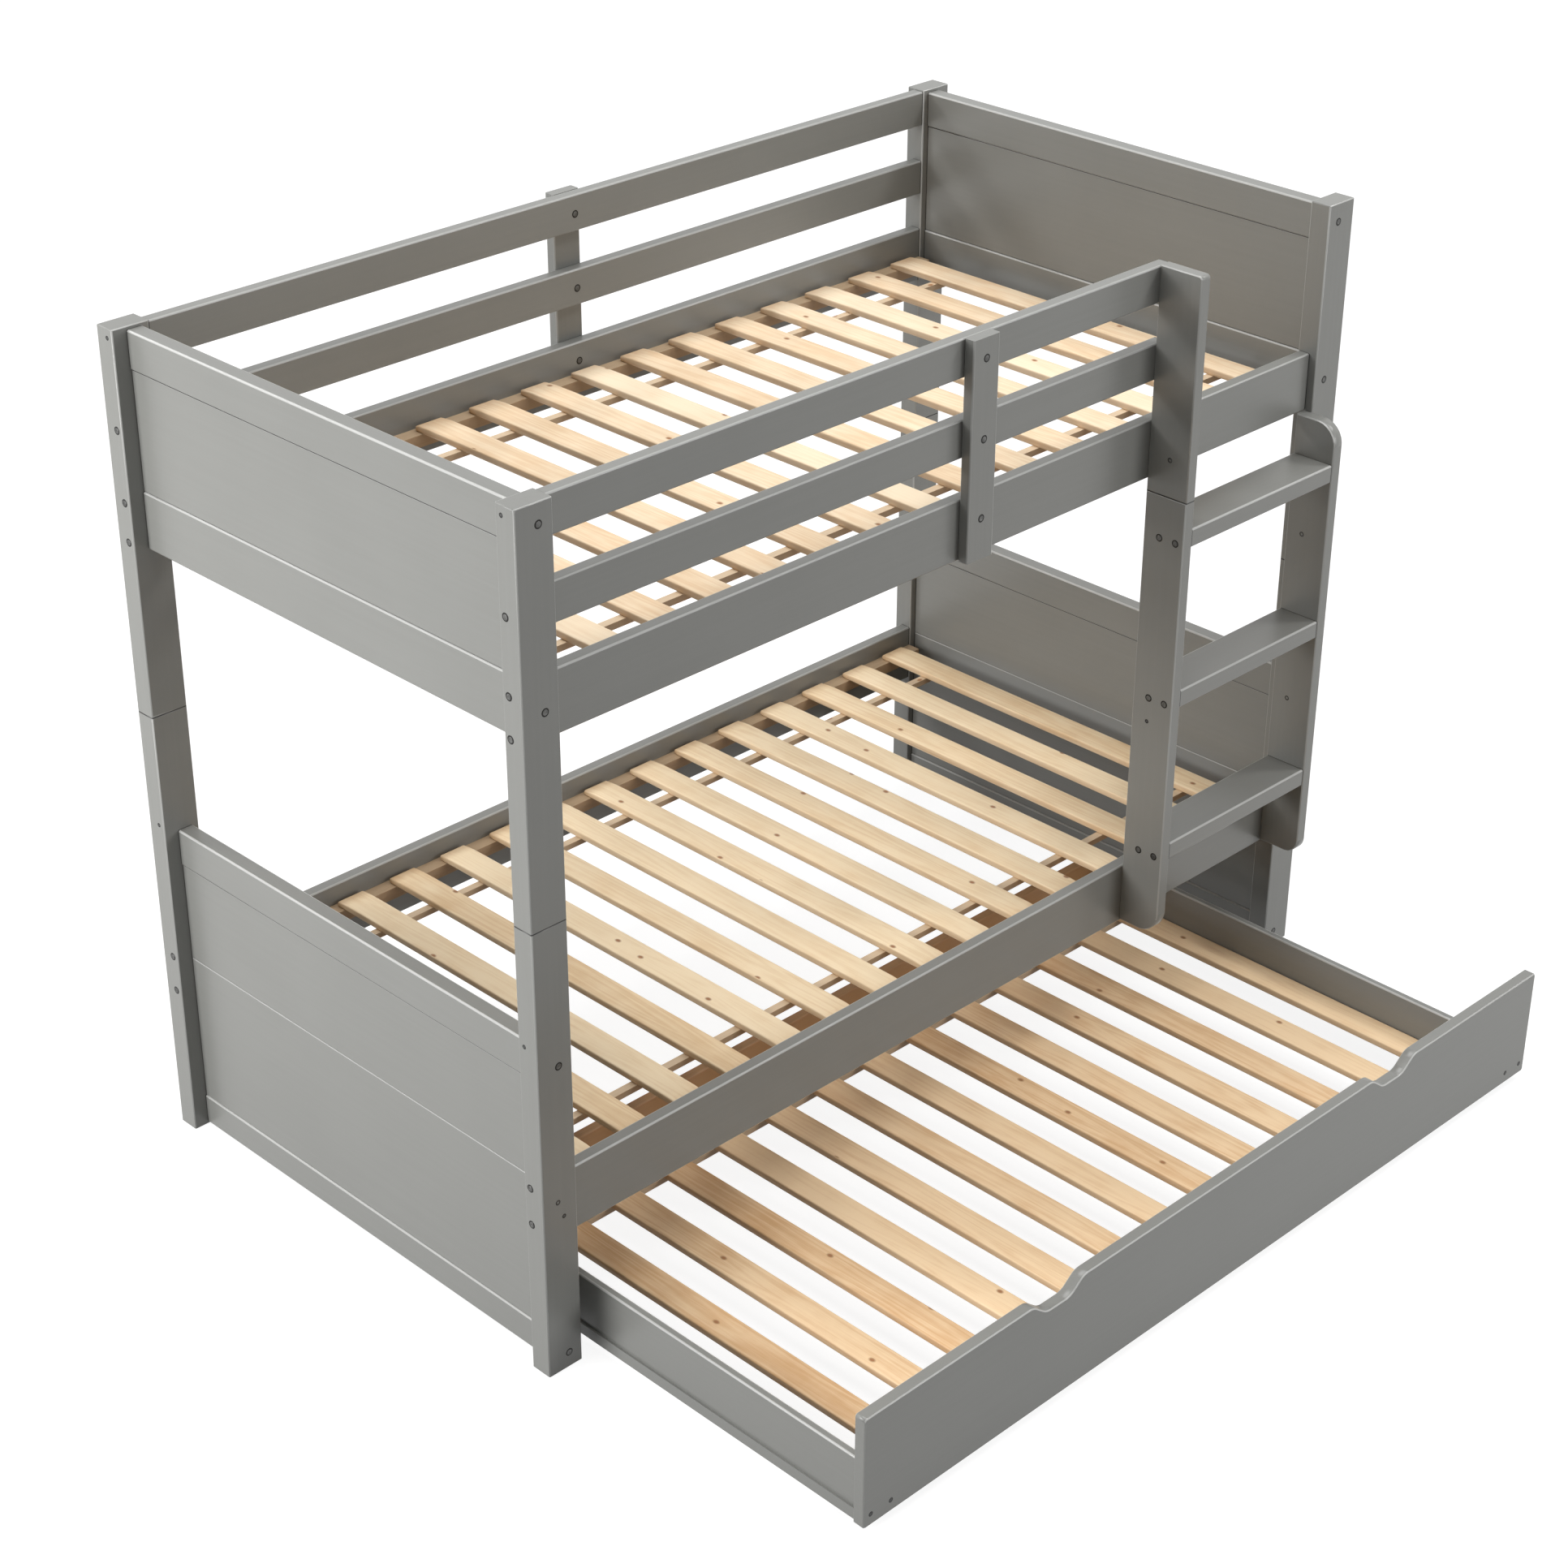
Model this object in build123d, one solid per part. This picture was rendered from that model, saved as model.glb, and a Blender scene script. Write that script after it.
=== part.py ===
from build123d import *
import os

# Bunk bed with a roll-out trundle: two single slatted beds one above the other, a fixed ladder at the
# right end of the front, guard boards round the upper bed, and a low slatted trundle on four wheels.
# Millimetres. X runs along the beds, Y from the front to the back, Z up. The origin lies on the floor,
# below the middle of the whole outline with the trundle pulled out.

# Bed frame
BED_LENGTH = 2030.0
BED_WIDTH = 1060.0
BED_HEIGHT = 1595.0
POST_ALONG = 74.0
POST_DEEP = 44.0
POST_JOINT_HEIGHT = 875.0
POST_EASE = 2.0
JOINT_EASE = 0.8
DOWEL_PIN_RADIUS = 5.0
DOWEL_PIN_LENGTH = 90.0
DOWEL_PIN_FIT = 0.05
DOWEL_PIN_SPACING = 36.0
STILE_PIN_RADIUS = 4.0
STILE_PIN_LENGTH = 50.0

# Long boards between the posts
BOARD_THICK = 25.0
BOARD_INSET = 2.0
BOARD_EASE = 2.0
GUARD_BELOW_POST_TOP = 2.0
GUARD_TALL = 70.0
GUARD_GAP = 74.0
UPPER_RAIL_TALL = 113.0
LOWER_RAIL_BOTTOM = 261.0
LOWER_RAIL_TALL = 125.0
SUPPORT_WIDE = 64.0
SUPPORT_THICK = 22.0

# End frames
END_THICK = 32.0
END_SET_BACK = 29.0
END_BELOW_POST_TOP = 6.0
END_TOP_RAIL_TALL = 70.0
END_PANEL_THICK = 28.0
END_UPPER_BOTTOM_RAIL_TALL = 107.0
END_LOWER_TOP = 639.0
END_LOWER_TOP_RAIL_TALL = 72.0
END_LOWER_MID_LINE = 369.0
END_LOWER_BOTTOM_RAIL_TOP = 65.0
END_FLOOR_GAP = 4.0
TONGUE_THICK = 8.0
TONGUE_TALL = 9.0
TONGUE_FIT = 0.3
PANEL_EASE = 1.0

# Ladder
STILE_THICK = 25.0
STILE_DEEP = 92.0
STILE_EASE = 2.0
STILE_FOOT_GAP = 265.0
LEFT_STILE_BOTTOM_RADIUS = 46.0
RIGHT_STILE_BOTTOM_RADIUS = 32.0
STILE_TOP_RADIUS = 44.0
GUARD_POST_CORNER_RADIUS = 7.0
LADDER_CLEAR_WIDTH = 418.0
LADDER_JOINT_BELOW_RAIL = 22.0
STEP_THICK = 36.0
STEP_SET_BACK = 1.5
STEP_BELOW_RAIL = 79.0
STEP_RISE = 326.0
STEP_COUNT = 3
STEP_EASE = 2.0

# Slat decks of the two beds
SLAT_WIDE = 61.0
SLAT_THICK = 14.0
SLAT_EASE = 2.5
SLAT_END_GAP = 8.0
BED_SLAT_COUNT = 15
BED_SLAT_MARGIN = 48.0
UPPER_DECK_ABOVE_RAIL_FOOT = 66.0
LOWER_DECK_ABOVE_RAIL_FOOT = 96.0
CLEAT_WIDE = 30.0
CLEAT_TALL = 24.0
BATTEN_WIDE = 16.0
BATTEN_TALL = 12.0
BATTEN_IN = 124.0
BATTEN_OVERRUN = 6.0

# Trundle
TRUNDLE_PULLED_OUT = 642.0
TRUNDLE_DEEP = 1000.0
TRUNDLE_FLOOR_GAP = 18.0
TRUNDLE_POST_GAP = 21.0
TRUNDLE_FRONT_TALL = 222.0
TRUNDLE_FRONT_THICK = 23.0
TRUNDLE_FRONT_CORNER_RADIUS = 6.0
TRUNDLE_SIDE_THICK = 15.0
TRUNDLE_SIDE_TOP = 140.0
TRUNDLE_LEFT_OVERHANG = 12.0
TRUNDLE_RIGHT_OVERHANG = 101.0
TRUNDLE_LIP_TALL = 22.0
TRUNDLE_LIP_PROUD = 4.0
TRUNDLE_BACK_THICK = 20.0
TRUNDLE_DECK_TOP = 66.0
TRUNDLE_SLAT_COUNT = 13
TRUNDLE_SLAT_LEFT_GAP = 97.0
TRUNDLE_SLAT_RIGHT_GAP = 2.0
TRUNDLE_SLAT_END_GAP = 5.0
TRUNDLE_CLEAT_WIDE = 20.0
TRUNDLE_BATTEN_IN = 91.0
HAND_SCOOP_WIDE = 126.0
HAND_SCOOP_FLOOR = 58.0
HAND_SCOOP_DEEP = 27.0
HAND_SCOOP_RADIUS = 30.0
HAND_SCOOP_FROM_MIDDLE = 463.0

# Trundle wheels
WHEEL_RADIUS = 25.0
WHEEL_WIDE = 20.0
AXLE_RADIUS = 4.0
AXLE_FIT = 0.05
AXLE_PROUD = 1.5
AXLE_BORE_SIDES = 12
BRACKET_STEEL = 2.5
BRACKET_SIDE_PLAY = 1.5
BRACKET_PLATE_WIDE = 46.0
BRACKET_TALL = 40.0
BRACKET_NOSE = 11.0
BRACKET_CORNER_CUT = 6.0
BRACKET_WHEEL_GAP = 4.0
BRACKET_CLEAT_GAP = 4.0

# Bolts and screws, whose heads and shanks have flat sides
BOLT_HEAD_RADIUS = 6.5
BOLT_HEAD_THICK = 3.0
BOLT_HEAD_PROUD = 0.6
BOLT_SHANK_RADIUS = 3.0
BOLT_FIT = 0.2
BOLT_INTO_BOARD = 39.0
BOLT_INTO_PLANK = 53.0
BOLT_INTO_STILE = 18.0
BOARD_SKIN = 4.0
SCREW_HEAD_RADIUS = 4.0
SCREW_HEAD_THICK = 2.5
SCREW_HEAD_PROUD = 0.3
SCREW_SHANK_RADIUS = 2.0
SCREW_LONG = 17.0
HEAD_SIDES = 8
SHANK_SIDES = 6
PIN_SIDES = 8
CUT_OVERRUN = 2.0

# Places of the bolts and screws on the boards that they hold
RAIL_BOLT_SPREAD = 73.0
UPPER_RAIL_BOLT_ABOVE_FOOT = 17.0
LOWER_RAIL_BOLT_ABOVE_FOOT = 44.0
END_TOP_BOLT_BELOW_TOP = 30.0
END_UPPER_BOLT_ABOVE_FOOT = 58.0
END_LOWER_BOLT_BELOW_TOP = 28.0
END_FOOT_BOLT_ABOVE_FOOT = 27.0
SUPPORT_BOLT_BELOW_TOP = 37.0
GUARD_POST_BOLT_ABOVE_FOOT = 38.0
STILE_BOLTS_FROM_JOINT = (125.0, -225.0)
STEP_BOLT_SPREAD = 37.0
STEP_BOLT_FROM_FRONT = 37.0
STEP_BOLT_BELOW_TOP = 26.0
TRUNDLE_SCREW_ABOVE_FOOT = 23.0
TRUNDLE_SCREW_INSETS = (17.0, 63.0)

# Places that follow from the sizes above
BED_FRONT = -BED_WIDTH / 2
BED_BACK = BED_WIDTH / 2
POST_OUTER = BED_LENGTH / 2
POST_INNER = POST_OUTER - POST_ALONG
GUARD_TOP = BED_HEIGHT - GUARD_BELOW_POST_TOP
LOW_GUARD_TOP = GUARD_TOP - GUARD_TALL - GUARD_GAP
UPPER_RAIL_TOP = LOW_GUARD_TOP - GUARD_TALL - GUARD_GAP
UPPER_RAIL_BOTTOM = UPPER_RAIL_TOP - UPPER_RAIL_TALL
LOWER_RAIL_TOP = LOWER_RAIL_BOTTOM + LOWER_RAIL_TALL
END_UPPER_TOP = BED_HEIGHT - END_BELOW_POST_TOP
LADDER_JOINT_HEIGHT = UPPER_RAIL_BOTTOM - LADDER_JOINT_BELOW_RAIL
STEP_TOP_HEIGHT = UPPER_RAIL_BOTTOM - STEP_BELOW_RAIL
UPPER_DECK_TOP = UPPER_RAIL_BOTTOM + UPPER_DECK_ABOVE_RAIL_FOOT
LOWER_DECK_TOP = LOWER_RAIL_BOTTOM + LOWER_DECK_ABOVE_RAIL_FOOT
BOARD_INNER = BED_BACK - POST_DEEP + BOARD_INSET
BOARD_OUTER = BOARD_INNER + BOARD_THICK
BOARD_MIDDLE = BOARD_INNER + BOARD_THICK / 2
SUPPORT_OUTER = BOARD_OUTER + SUPPORT_THICK
END_OUTER = POST_OUTER - END_SET_BACK
END_INNER = END_OUTER - END_THICK
END_MIDDLE = (END_OUTER + END_INNER) / 2
END_HALF_SPAN = BED_BACK - POST_DEEP
POST_MIDDLE_X = POST_OUTER - POST_ALONG / 2
POST_MIDDLE_Y = BED_BACK - POST_DEEP / 2
RIGHT_STILE_X = POST_INNER - STILE_THICK
LEFT_STILE_X = RIGHT_STILE_X - LADDER_CLEAR_WIDTH - STILE_THICK
STILE_BACK = -BOARD_OUTER
STILE_FRONT = STILE_BACK - STILE_DEEP
STILE_MIDDLE_Y = (STILE_BACK + STILE_FRONT) / 2
SLAT_HALF = BOARD_INNER - SLAT_END_GAP
TRUNDLE_FRONT_LONG = (POST_INNER - TRUNDLE_POST_GAP) * 2
TRUNDLE_FRONT_FACE = BED_FRONT - TRUNDLE_PULLED_OUT
TRUNDLE_FRONT_BACK = TRUNDLE_FRONT_FACE + TRUNDLE_FRONT_THICK
TRUNDLE_REAR_FACE = TRUNDLE_FRONT_FACE + TRUNDLE_DEEP
TRUNDLE_REAR_INNER = TRUNDLE_REAR_FACE - TRUNDLE_BACK_THICK
TRUNDLE_LEFT_OUTER = -TRUNDLE_FRONT_LONG / 2 + TRUNDLE_LEFT_OVERHANG
TRUNDLE_RIGHT_OUTER = TRUNDLE_FRONT_LONG / 2 - TRUNDLE_RIGHT_OVERHANG
TRUNDLE_FRONT_TOP = TRUNDLE_FLOOR_GAP + TRUNDLE_FRONT_TALL
TRUNDLE_CLEAT_TOP = TRUNDLE_DECK_TOP - SLAT_THICK
TRUNDLE_LEFT_INNER = TRUNDLE_LEFT_OUTER + TRUNDLE_SIDE_THICK
TRUNDLE_RIGHT_INNER = TRUNDLE_RIGHT_OUTER - TRUNDLE_SIDE_THICK
TRUNDLE_SLAT_LEFT = TRUNDLE_LEFT_INNER + TRUNDLE_SLAT_LEFT_GAP
TRUNDLE_SLAT_RIGHT = TRUNDLE_RIGHT_INNER - TRUNDLE_SLAT_RIGHT_GAP
TRUNDLE_PITCH = (TRUNDLE_SLAT_RIGHT - TRUNDLE_SLAT_LEFT - SLAT_WIDE) / (TRUNDLE_SLAT_COUNT - 1)
WHEELS_LEFT_X = TRUNDLE_SLAT_LEFT + TRUNDLE_PITCH * 2 - (TRUNDLE_PITCH - SLAT_WIDE) / 2
WHEELS_RIGHT_X = TRUNDLE_SLAT_RIGHT - TRUNDLE_PITCH * 2 + (TRUNDLE_PITCH - SLAT_WIDE) / 2
WHEEL_FROM_BOARD = BRACKET_STEEL + BRACKET_WHEEL_GAP + WHEEL_RADIUS
FRAME_SHIFT = (SCREW_HEAD_PROUD - TRUNDLE_FRONT_FACE - SUPPORT_OUTER) / 2

pieces = {}
pins = []


def block(low, high):
    """A plain block between two opposite corners."""
    size = [b - a for a, b in zip(low, high)]
    middle = [(a + b) / 2 for a, b in zip(low, high)]
    return Pos(*middle) * Box(*size)


def board(low, high, along=Axis.X, ease=BOARD_EASE):
    """A planed board whose long edges are eased."""
    body = block(low, high)
    return chamfer(body.edges().filter_by(along), ease)


def rod(start, end, radius):
    """A round rod from one point to another."""
    run = Vector(*end) - Vector(*start)
    face = Plane(origin=start, z_dir=run)
    return extrude(face * Circle(radius), amount=run.length)


def bar(start, end, radius, sides):
    """A straight bar whose flat sides lie at a radius from its middle."""
    run = Vector(*end) - Vector(*start)
    face = Plane(origin=start, z_dir=run)
    return extrude(face * RegularPolygon(radius, sides, major_radius=False), amount=run.length)


def shifted(point, direction, distance):
    """The point that lies a distance along a direction."""
    return tuple(p + d * distance for p, d in zip(point, direction))


def group(solids):
    """Several separate solids kept together as one node."""
    return Compound(children=list(solids))


def drill(names, start, end, radius, sides):
    """Bore a flat-sided hole through each named piece."""
    tool = bar(start, end, radius, sides)
    for name in names:
        pieces[name] = pieces[name] - tool


# Posts

def post_half(side, face, bottom, top, eased_end):
    """One half of a post, with eased edges, more so at its free end."""
    inner_x, outer_x = sorted((side * POST_INNER, side * POST_OUTER))
    inner_y, outer_y = sorted((face * (BED_BACK - POST_DEEP), face * BED_BACK))
    body = block((inner_x, inner_y, bottom), (outer_x, outer_y, top))
    body = chamfer(body.edges().filter_by(Axis.Z), POST_EASE)
    free_end = body.faces().sort_by(Axis.Z)[eased_end]
    body = chamfer(free_end.edges(), POST_EASE - JOINT_EASE)
    joint_end = body.faces().sort_by(Axis.Z)[-1 - eased_end]
    return chamfer(joint_end.edges(), JOINT_EASE)


def build_posts():
    """Four posts in halves, held together by steel dowel pins."""
    for face, front_back in ((-1, "front"), (1, "back")):
        for side, left_right in ((-1, "left"), (1, "right")):
            upper = f"upper_post_{front_back}_{left_right}"
            lower = f"lower_post_{front_back}_{left_right}"
            pieces[upper] = post_half(side, face, POST_JOINT_HEIGHT, BED_HEIGHT, -1)
            pieces[lower] = post_half(side, face, 0, POST_JOINT_HEIGHT, 0)
            for across in (-1, 1):
                x = side * POST_MIDDLE_X + across * DOWEL_PIN_SPACING / 2
                y = face * POST_MIDDLE_Y
                start = (x, y, POST_JOINT_HEIGHT - DOWEL_PIN_LENGTH / 2)
                end = (x, y, POST_JOINT_HEIGHT + DOWEL_PIN_LENGTH / 2)
                pins.append(bar(start, end, DOWEL_PIN_RADIUS, PIN_SIDES))
                drill((upper, lower), start, end, DOWEL_PIN_RADIUS + DOWEL_PIN_FIT, PIN_SIDES)


# End frames

def end_rail(side, bottom, top, grooved_edge):
    """A rail of an end frame, grooved along the edge that meets the panel."""
    inner_x, outer_x = sorted((side * END_INNER, side * END_OUTER))
    rail = board((inner_x, -END_HALF_SPAN, bottom), (outer_x, END_HALF_SPAN, top), Axis.Y)
    return rail - groove(side, grooved_edge)


def end_panel(side, bottom, top, tongue_above=True):
    """A flat panel with a tongue below, and one above where a grooved rail lies on it."""
    middle = side * END_MIDDLE
    panel = board(
        (middle - END_PANEL_THICK / 2, -END_HALF_SPAN, bottom),
        (middle + END_PANEL_THICK / 2, END_HALF_SPAN, top),
        Axis.Y,
        PANEL_EASE,
    )
    tongue_top = top + TONGUE_TALL if tongue_above else top - TONGUE_TALL
    tongue = block(
        (middle - TONGUE_THICK / 2, -END_HALF_SPAN, bottom - TONGUE_TALL),
        (middle + TONGUE_THICK / 2, END_HALF_SPAN, tongue_top),
    )
    return panel + tongue


def groove(side, edge):
    """The slot that takes a panel's tongue, cut to both sides of an edge."""
    middle = side * END_MIDDLE
    half_slot = TONGUE_THICK / 2 + TONGUE_FIT
    deep = TONGUE_TALL + TONGUE_FIT
    return block(
        (middle - half_slot, -END_HALF_SPAN - CUT_OVERRUN, edge - deep),
        (middle + half_slot, END_HALF_SPAN + CUT_OVERRUN, edge + deep),
    )


def build_ends():
    """Panelled end frames of the upper and the lower bed."""
    upper_panel_top = END_UPPER_TOP - END_TOP_RAIL_TALL
    upper_panel_bottom = UPPER_RAIL_BOTTOM + END_UPPER_BOTTOM_RAIL_TALL
    lower_panel_top = END_LOWER_TOP - END_LOWER_TOP_RAIL_TALL
    middle_line = END_LOWER_MID_LINE
    foot_line = END_LOWER_BOTTOM_RAIL_TOP
    for side, name in ((-1, "left"), (1, "right")):
        pieces[f"upper_{name}_top_rail"] = end_rail(side, upper_panel_top, END_UPPER_TOP, upper_panel_top)
        pieces[f"upper_{name}_panel"] = end_panel(side, upper_panel_bottom, upper_panel_top)
        pieces[f"upper_{name}_bottom_rail"] = end_rail(
            side, UPPER_RAIL_BOTTOM, upper_panel_bottom, upper_panel_bottom
        )
        pieces[f"lower_{name}_top_rail"] = end_rail(side, lower_panel_top, END_LOWER_TOP, lower_panel_top)
        pieces[f"lower_{name}_upper_panel"] = end_panel(side, middle_line, lower_panel_top)
        low_panel = end_panel(side, foot_line, middle_line, tongue_above=False)
        pieces[f"lower_{name}_lower_panel"] = low_panel - groove(side, middle_line)
        pieces[f"lower_{name}_bottom_rail"] = end_rail(side, END_FLOOR_GAP, foot_line, foot_line)


# Side rails, guard boards and their middle supports

def long_board(face, left, right, bottom, top):
    """A board that runs along the bed at its front or back."""
    inner_y, outer_y = sorted((face * BOARD_INNER, face * BOARD_OUTER))
    return board((left, inner_y, bottom), (right, outer_y, top))


def build_long_boards():
    """Side rails, guard boards and the upright supports that tie them."""
    for face, name in ((-1, "front"), (1, "back")):
        guard_right = POST_INNER if face > 0 else LEFT_STILE_X + STILE_THICK
        pieces[f"upper_{name}_rail"] = long_board(
            face, -POST_INNER, POST_INNER, UPPER_RAIL_BOTTOM, UPPER_RAIL_TOP
        )
        pieces[f"lower_{name}_rail"] = long_board(
            face, -POST_INNER, POST_INNER, LOWER_RAIL_BOTTOM, LOWER_RAIL_TOP
        )
        pieces[f"{name}_top_guard"] = long_board(
            face, -POST_INNER, guard_right, GUARD_TOP - GUARD_TALL, GUARD_TOP
        )
        pieces[f"{name}_low_guard"] = long_board(
            face, -POST_INNER, guard_right, LOW_GUARD_TOP - GUARD_TALL, LOW_GUARD_TOP
        )
        near_y, far_y = sorted((face * BOARD_OUTER, face * SUPPORT_OUTER))
        pieces[f"{name}_guard_support"] = board(
            (-SUPPORT_WIDE / 2, near_y, UPPER_RAIL_BOTTOM),
            (SUPPORT_WIDE / 2, far_y, GUARD_TOP),
            Axis.Z,
        )


# Ladder

def upright_plank(left, bottom, top, bottom_radius, top_radius):
    """A plank with a rounded front corner at each end where the radius isn't zero."""
    plank = block((left, STILE_FRONT, bottom), (left + STILE_THICK, STILE_BACK, top))
    front = plank.edges().filter_by(Axis.X).group_by(Axis.Y)[0].sort_by(Axis.Z)
    if bottom_radius:
        plank = fillet(front[0], bottom_radius)
    if top_radius:
        front = plank.edges().filter_by(Axis.X).group_by(Axis.Z)[-1].sort_by(Axis.Y)
        plank = fillet(front[0], top_radius)
    rims = plank.faces().filter_by(Axis.X).edges()
    return chamfer(rims, STILE_EASE)


def build_ladder():
    """Guard end post, the two stiles and the flat steps between them."""
    pieces["guard_end_post"] = upright_plank(
        LEFT_STILE_X, LADDER_JOINT_HEIGHT, BED_HEIGHT, 0, GUARD_POST_CORNER_RADIUS
    )
    pieces["ladder_left_stile"] = upright_plank(
        LEFT_STILE_X, STILE_FOOT_GAP, LADDER_JOINT_HEIGHT, LEFT_STILE_BOTTOM_RADIUS, 0
    )
    pieces["ladder_right_stile"] = upright_plank(
        RIGHT_STILE_X, STILE_FOOT_GAP, UPPER_RAIL_BOTTOM, RIGHT_STILE_BOTTOM_RADIUS, STILE_TOP_RADIUS
    )
    steps = []
    for number in range(STEP_COUNT):
        top = STEP_TOP_HEIGHT - number * STEP_RISE
        low = (LEFT_STILE_X + STILE_THICK, STILE_FRONT + STEP_SET_BACK, top - STEP_THICK)
        high = (RIGHT_STILE_X, STILE_BACK - STEP_SET_BACK, top)
        steps.append(board(low, high, ease=STEP_EASE))
    pieces["ladder_steps"] = group(steps)
    middle_x = LEFT_STILE_X + STILE_THICK / 2
    for across in (-1, 1):
        y = STILE_MIDDLE_Y + across * DOWEL_PIN_SPACING / 2
        start = (middle_x, y, LADDER_JOINT_HEIGHT - STILE_PIN_LENGTH / 2)
        end = (middle_x, y, LADDER_JOINT_HEIGHT + STILE_PIN_LENGTH / 2)
        pins.append(bar(start, end, STILE_PIN_RADIUS, PIN_SIDES))
        names = ("guard_end_post", "ladder_left_stile")
        drill(names, start, end, STILE_PIN_RADIUS + DOWEL_PIN_FIT, PIN_SIDES)


# Slat decks

def slat_row(first_left, pitch, count, front, back, top):
    """A row of separate slats lying from the front to the back."""
    slats = []
    for number in range(count):
        left = first_left + number * pitch
        low = (left, front, top - SLAT_THICK)
        high = (left + SLAT_WIDE, back, top)
        slats.append(board(low, high, Axis.Y, SLAT_EASE))
    return group(slats)


def build_bed_decks():
    """Slats, the ledges that carry them and the battens that space them."""
    first_left = -END_INNER + BED_SLAT_MARGIN
    pitch = (-2 * first_left - SLAT_WIDE) / (BED_SLAT_COUNT - 1)
    for level, top in (("upper", UPPER_DECK_TOP), ("lower", LOWER_DECK_TOP)):
        under = top - SLAT_THICK
        pieces[f"{level}_slats"] = slat_row(first_left, pitch, BED_SLAT_COUNT, -SLAT_HALF, SLAT_HALF, top)
        cleats = []
        battens = []
        for face in (-1, 1):
            near_y, far_y = sorted((face * (BOARD_INNER - CLEAT_WIDE), face * BOARD_INNER))
            low = (-POST_INNER, near_y, under - CLEAT_TALL)
            high = (POST_INNER, far_y, under)
            cleats.append(block(low, high))
            batten_y = BOARD_INNER - BATTEN_IN
            near_y, far_y = sorted((face * (batten_y - BATTEN_WIDE), face * batten_y))
            low = (first_left - BATTEN_OVERRUN, near_y, under - BATTEN_TALL)
            high = (-first_left + BATTEN_OVERRUN, far_y, under)
            battens.append(block(low, high))
        pieces[f"{level}_slat_cleats"] = group(cleats)
        pieces[f"{level}_slat_battens"] = group(battens)


# Trundle

def trundle_front():
    """The tall front board, with two scooped hand holds in its top edge."""
    half = TRUNDLE_FRONT_LONG / 2
    low = TRUNDLE_FLOOR_GAP
    high = TRUNDLE_FRONT_TOP
    corner = TRUNDLE_FRONT_CORNER_RADIUS
    points = [(-half, low), (half, low), (half, high)]
    radii = [corner, corner, corner]
    for middle in (HAND_SCOOP_FROM_MIDDLE, -HAND_SCOOP_FROM_MIDDLE):
        points += [
            (middle + HAND_SCOOP_WIDE / 2, high),
            (middle + HAND_SCOOP_FLOOR / 2, high - HAND_SCOOP_DEEP),
            (middle - HAND_SCOOP_FLOOR / 2, high - HAND_SCOOP_DEEP),
            (middle - HAND_SCOOP_WIDE / 2, high),
        ]
        radii += [HAND_SCOOP_RADIUS] * 4
    points.append((-half, high))
    radii.append(corner)
    outline = FilletPolyline(*points, radius=radii, close=True)
    face = Plane.XZ.offset(-TRUNDLE_FRONT_FACE) * make_face(outline)
    body = extrude(face, amount=-TRUNDLE_FRONT_THICK)
    return chamfer(body.faces().filter_by(Axis.Y).edges(), BOARD_EASE)


def trundle_side(outer, outward):
    """A thin side board with a proud lip along the foot of its outer face."""
    inner = outer - outward * TRUNDLE_SIDE_THICK
    proud = outer + outward * TRUNDLE_LIP_PROUD
    lip_top = TRUNDLE_FLOOR_GAP + TRUNDLE_LIP_TALL
    profile = Polyline(
        (inner, TRUNDLE_FLOOR_GAP),
        (proud, TRUNDLE_FLOOR_GAP),
        (proud, lip_top),
        (outer, lip_top),
        (outer, TRUNDLE_SIDE_TOP),
        (inner, TRUNDLE_SIDE_TOP),
        close=True,
    )
    face = Plane.XZ.offset(-TRUNDLE_FRONT_BACK) * make_face(profile)
    body = extrude(face, amount=-(TRUNDLE_REAR_INNER - TRUNDLE_FRONT_BACK))
    top_edges = body.edges().filter_by(Axis.Y).group_by(Axis.Z)[-1]
    return chamfer(top_edges, BOARD_EASE)


def caster_bracket(x, board_face, inward):
    """A steel fork: a flat plate on the board and two cheeks round the wheel."""
    half_plate = BRACKET_PLATE_WIDE / 2
    half_inside = WHEEL_WIDE / 2 + BRACKET_SIDE_PLAY
    bottom = WHEEL_RADIUS - BRACKET_NOSE
    near_y, far_y = sorted((board_face, board_face + inward * BRACKET_STEEL))
    fork = block((x - half_plate, near_y, bottom), (x + half_plate, far_y, bottom + BRACKET_TALL))
    nose = board_face + inward * (WHEEL_FROM_BOARD + BRACKET_NOSE)
    for side in (-1, 1):
        inner_x = x + side * half_inside
        near_x, far_x = sorted((inner_x, inner_x + side * BRACKET_STEEL))
        low_y, high_y = sorted((board_face, nose))
        cheek = block((near_x, low_y, bottom), (far_x, high_y, WHEEL_RADIUS + BRACKET_NOSE))
        corners = cheek.edges().filter_by(Axis.X).sort_by(Axis.Y)
        fork += chamfer(corners[-2:] if inward > 0 else corners[:2], BRACKET_CORNER_CUT)
    reach = half_inside + BRACKET_STEEL + CUT_OVERRUN
    axle_y = board_face + inward * WHEEL_FROM_BOARD
    bore_start = (x - reach, axle_y, WHEEL_RADIUS)
    bore_end = (x + reach, axle_y, WHEEL_RADIUS)
    return fork - bar(bore_start, bore_end, AXLE_RADIUS + AXLE_FIT, AXLE_BORE_SIDES)


def caster_axle(x, board_face, inward):
    """A round axle whose ends stand out of the cheeks."""
    axle_y = board_face + inward * WHEEL_FROM_BOARD
    reach = WHEEL_WIDE / 2 + BRACKET_SIDE_PLAY + BRACKET_STEEL + AXLE_PROUD
    return rod((x - reach, axle_y, WHEEL_RADIUS), (x + reach, axle_y, WHEEL_RADIUS), AXLE_RADIUS)


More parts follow.
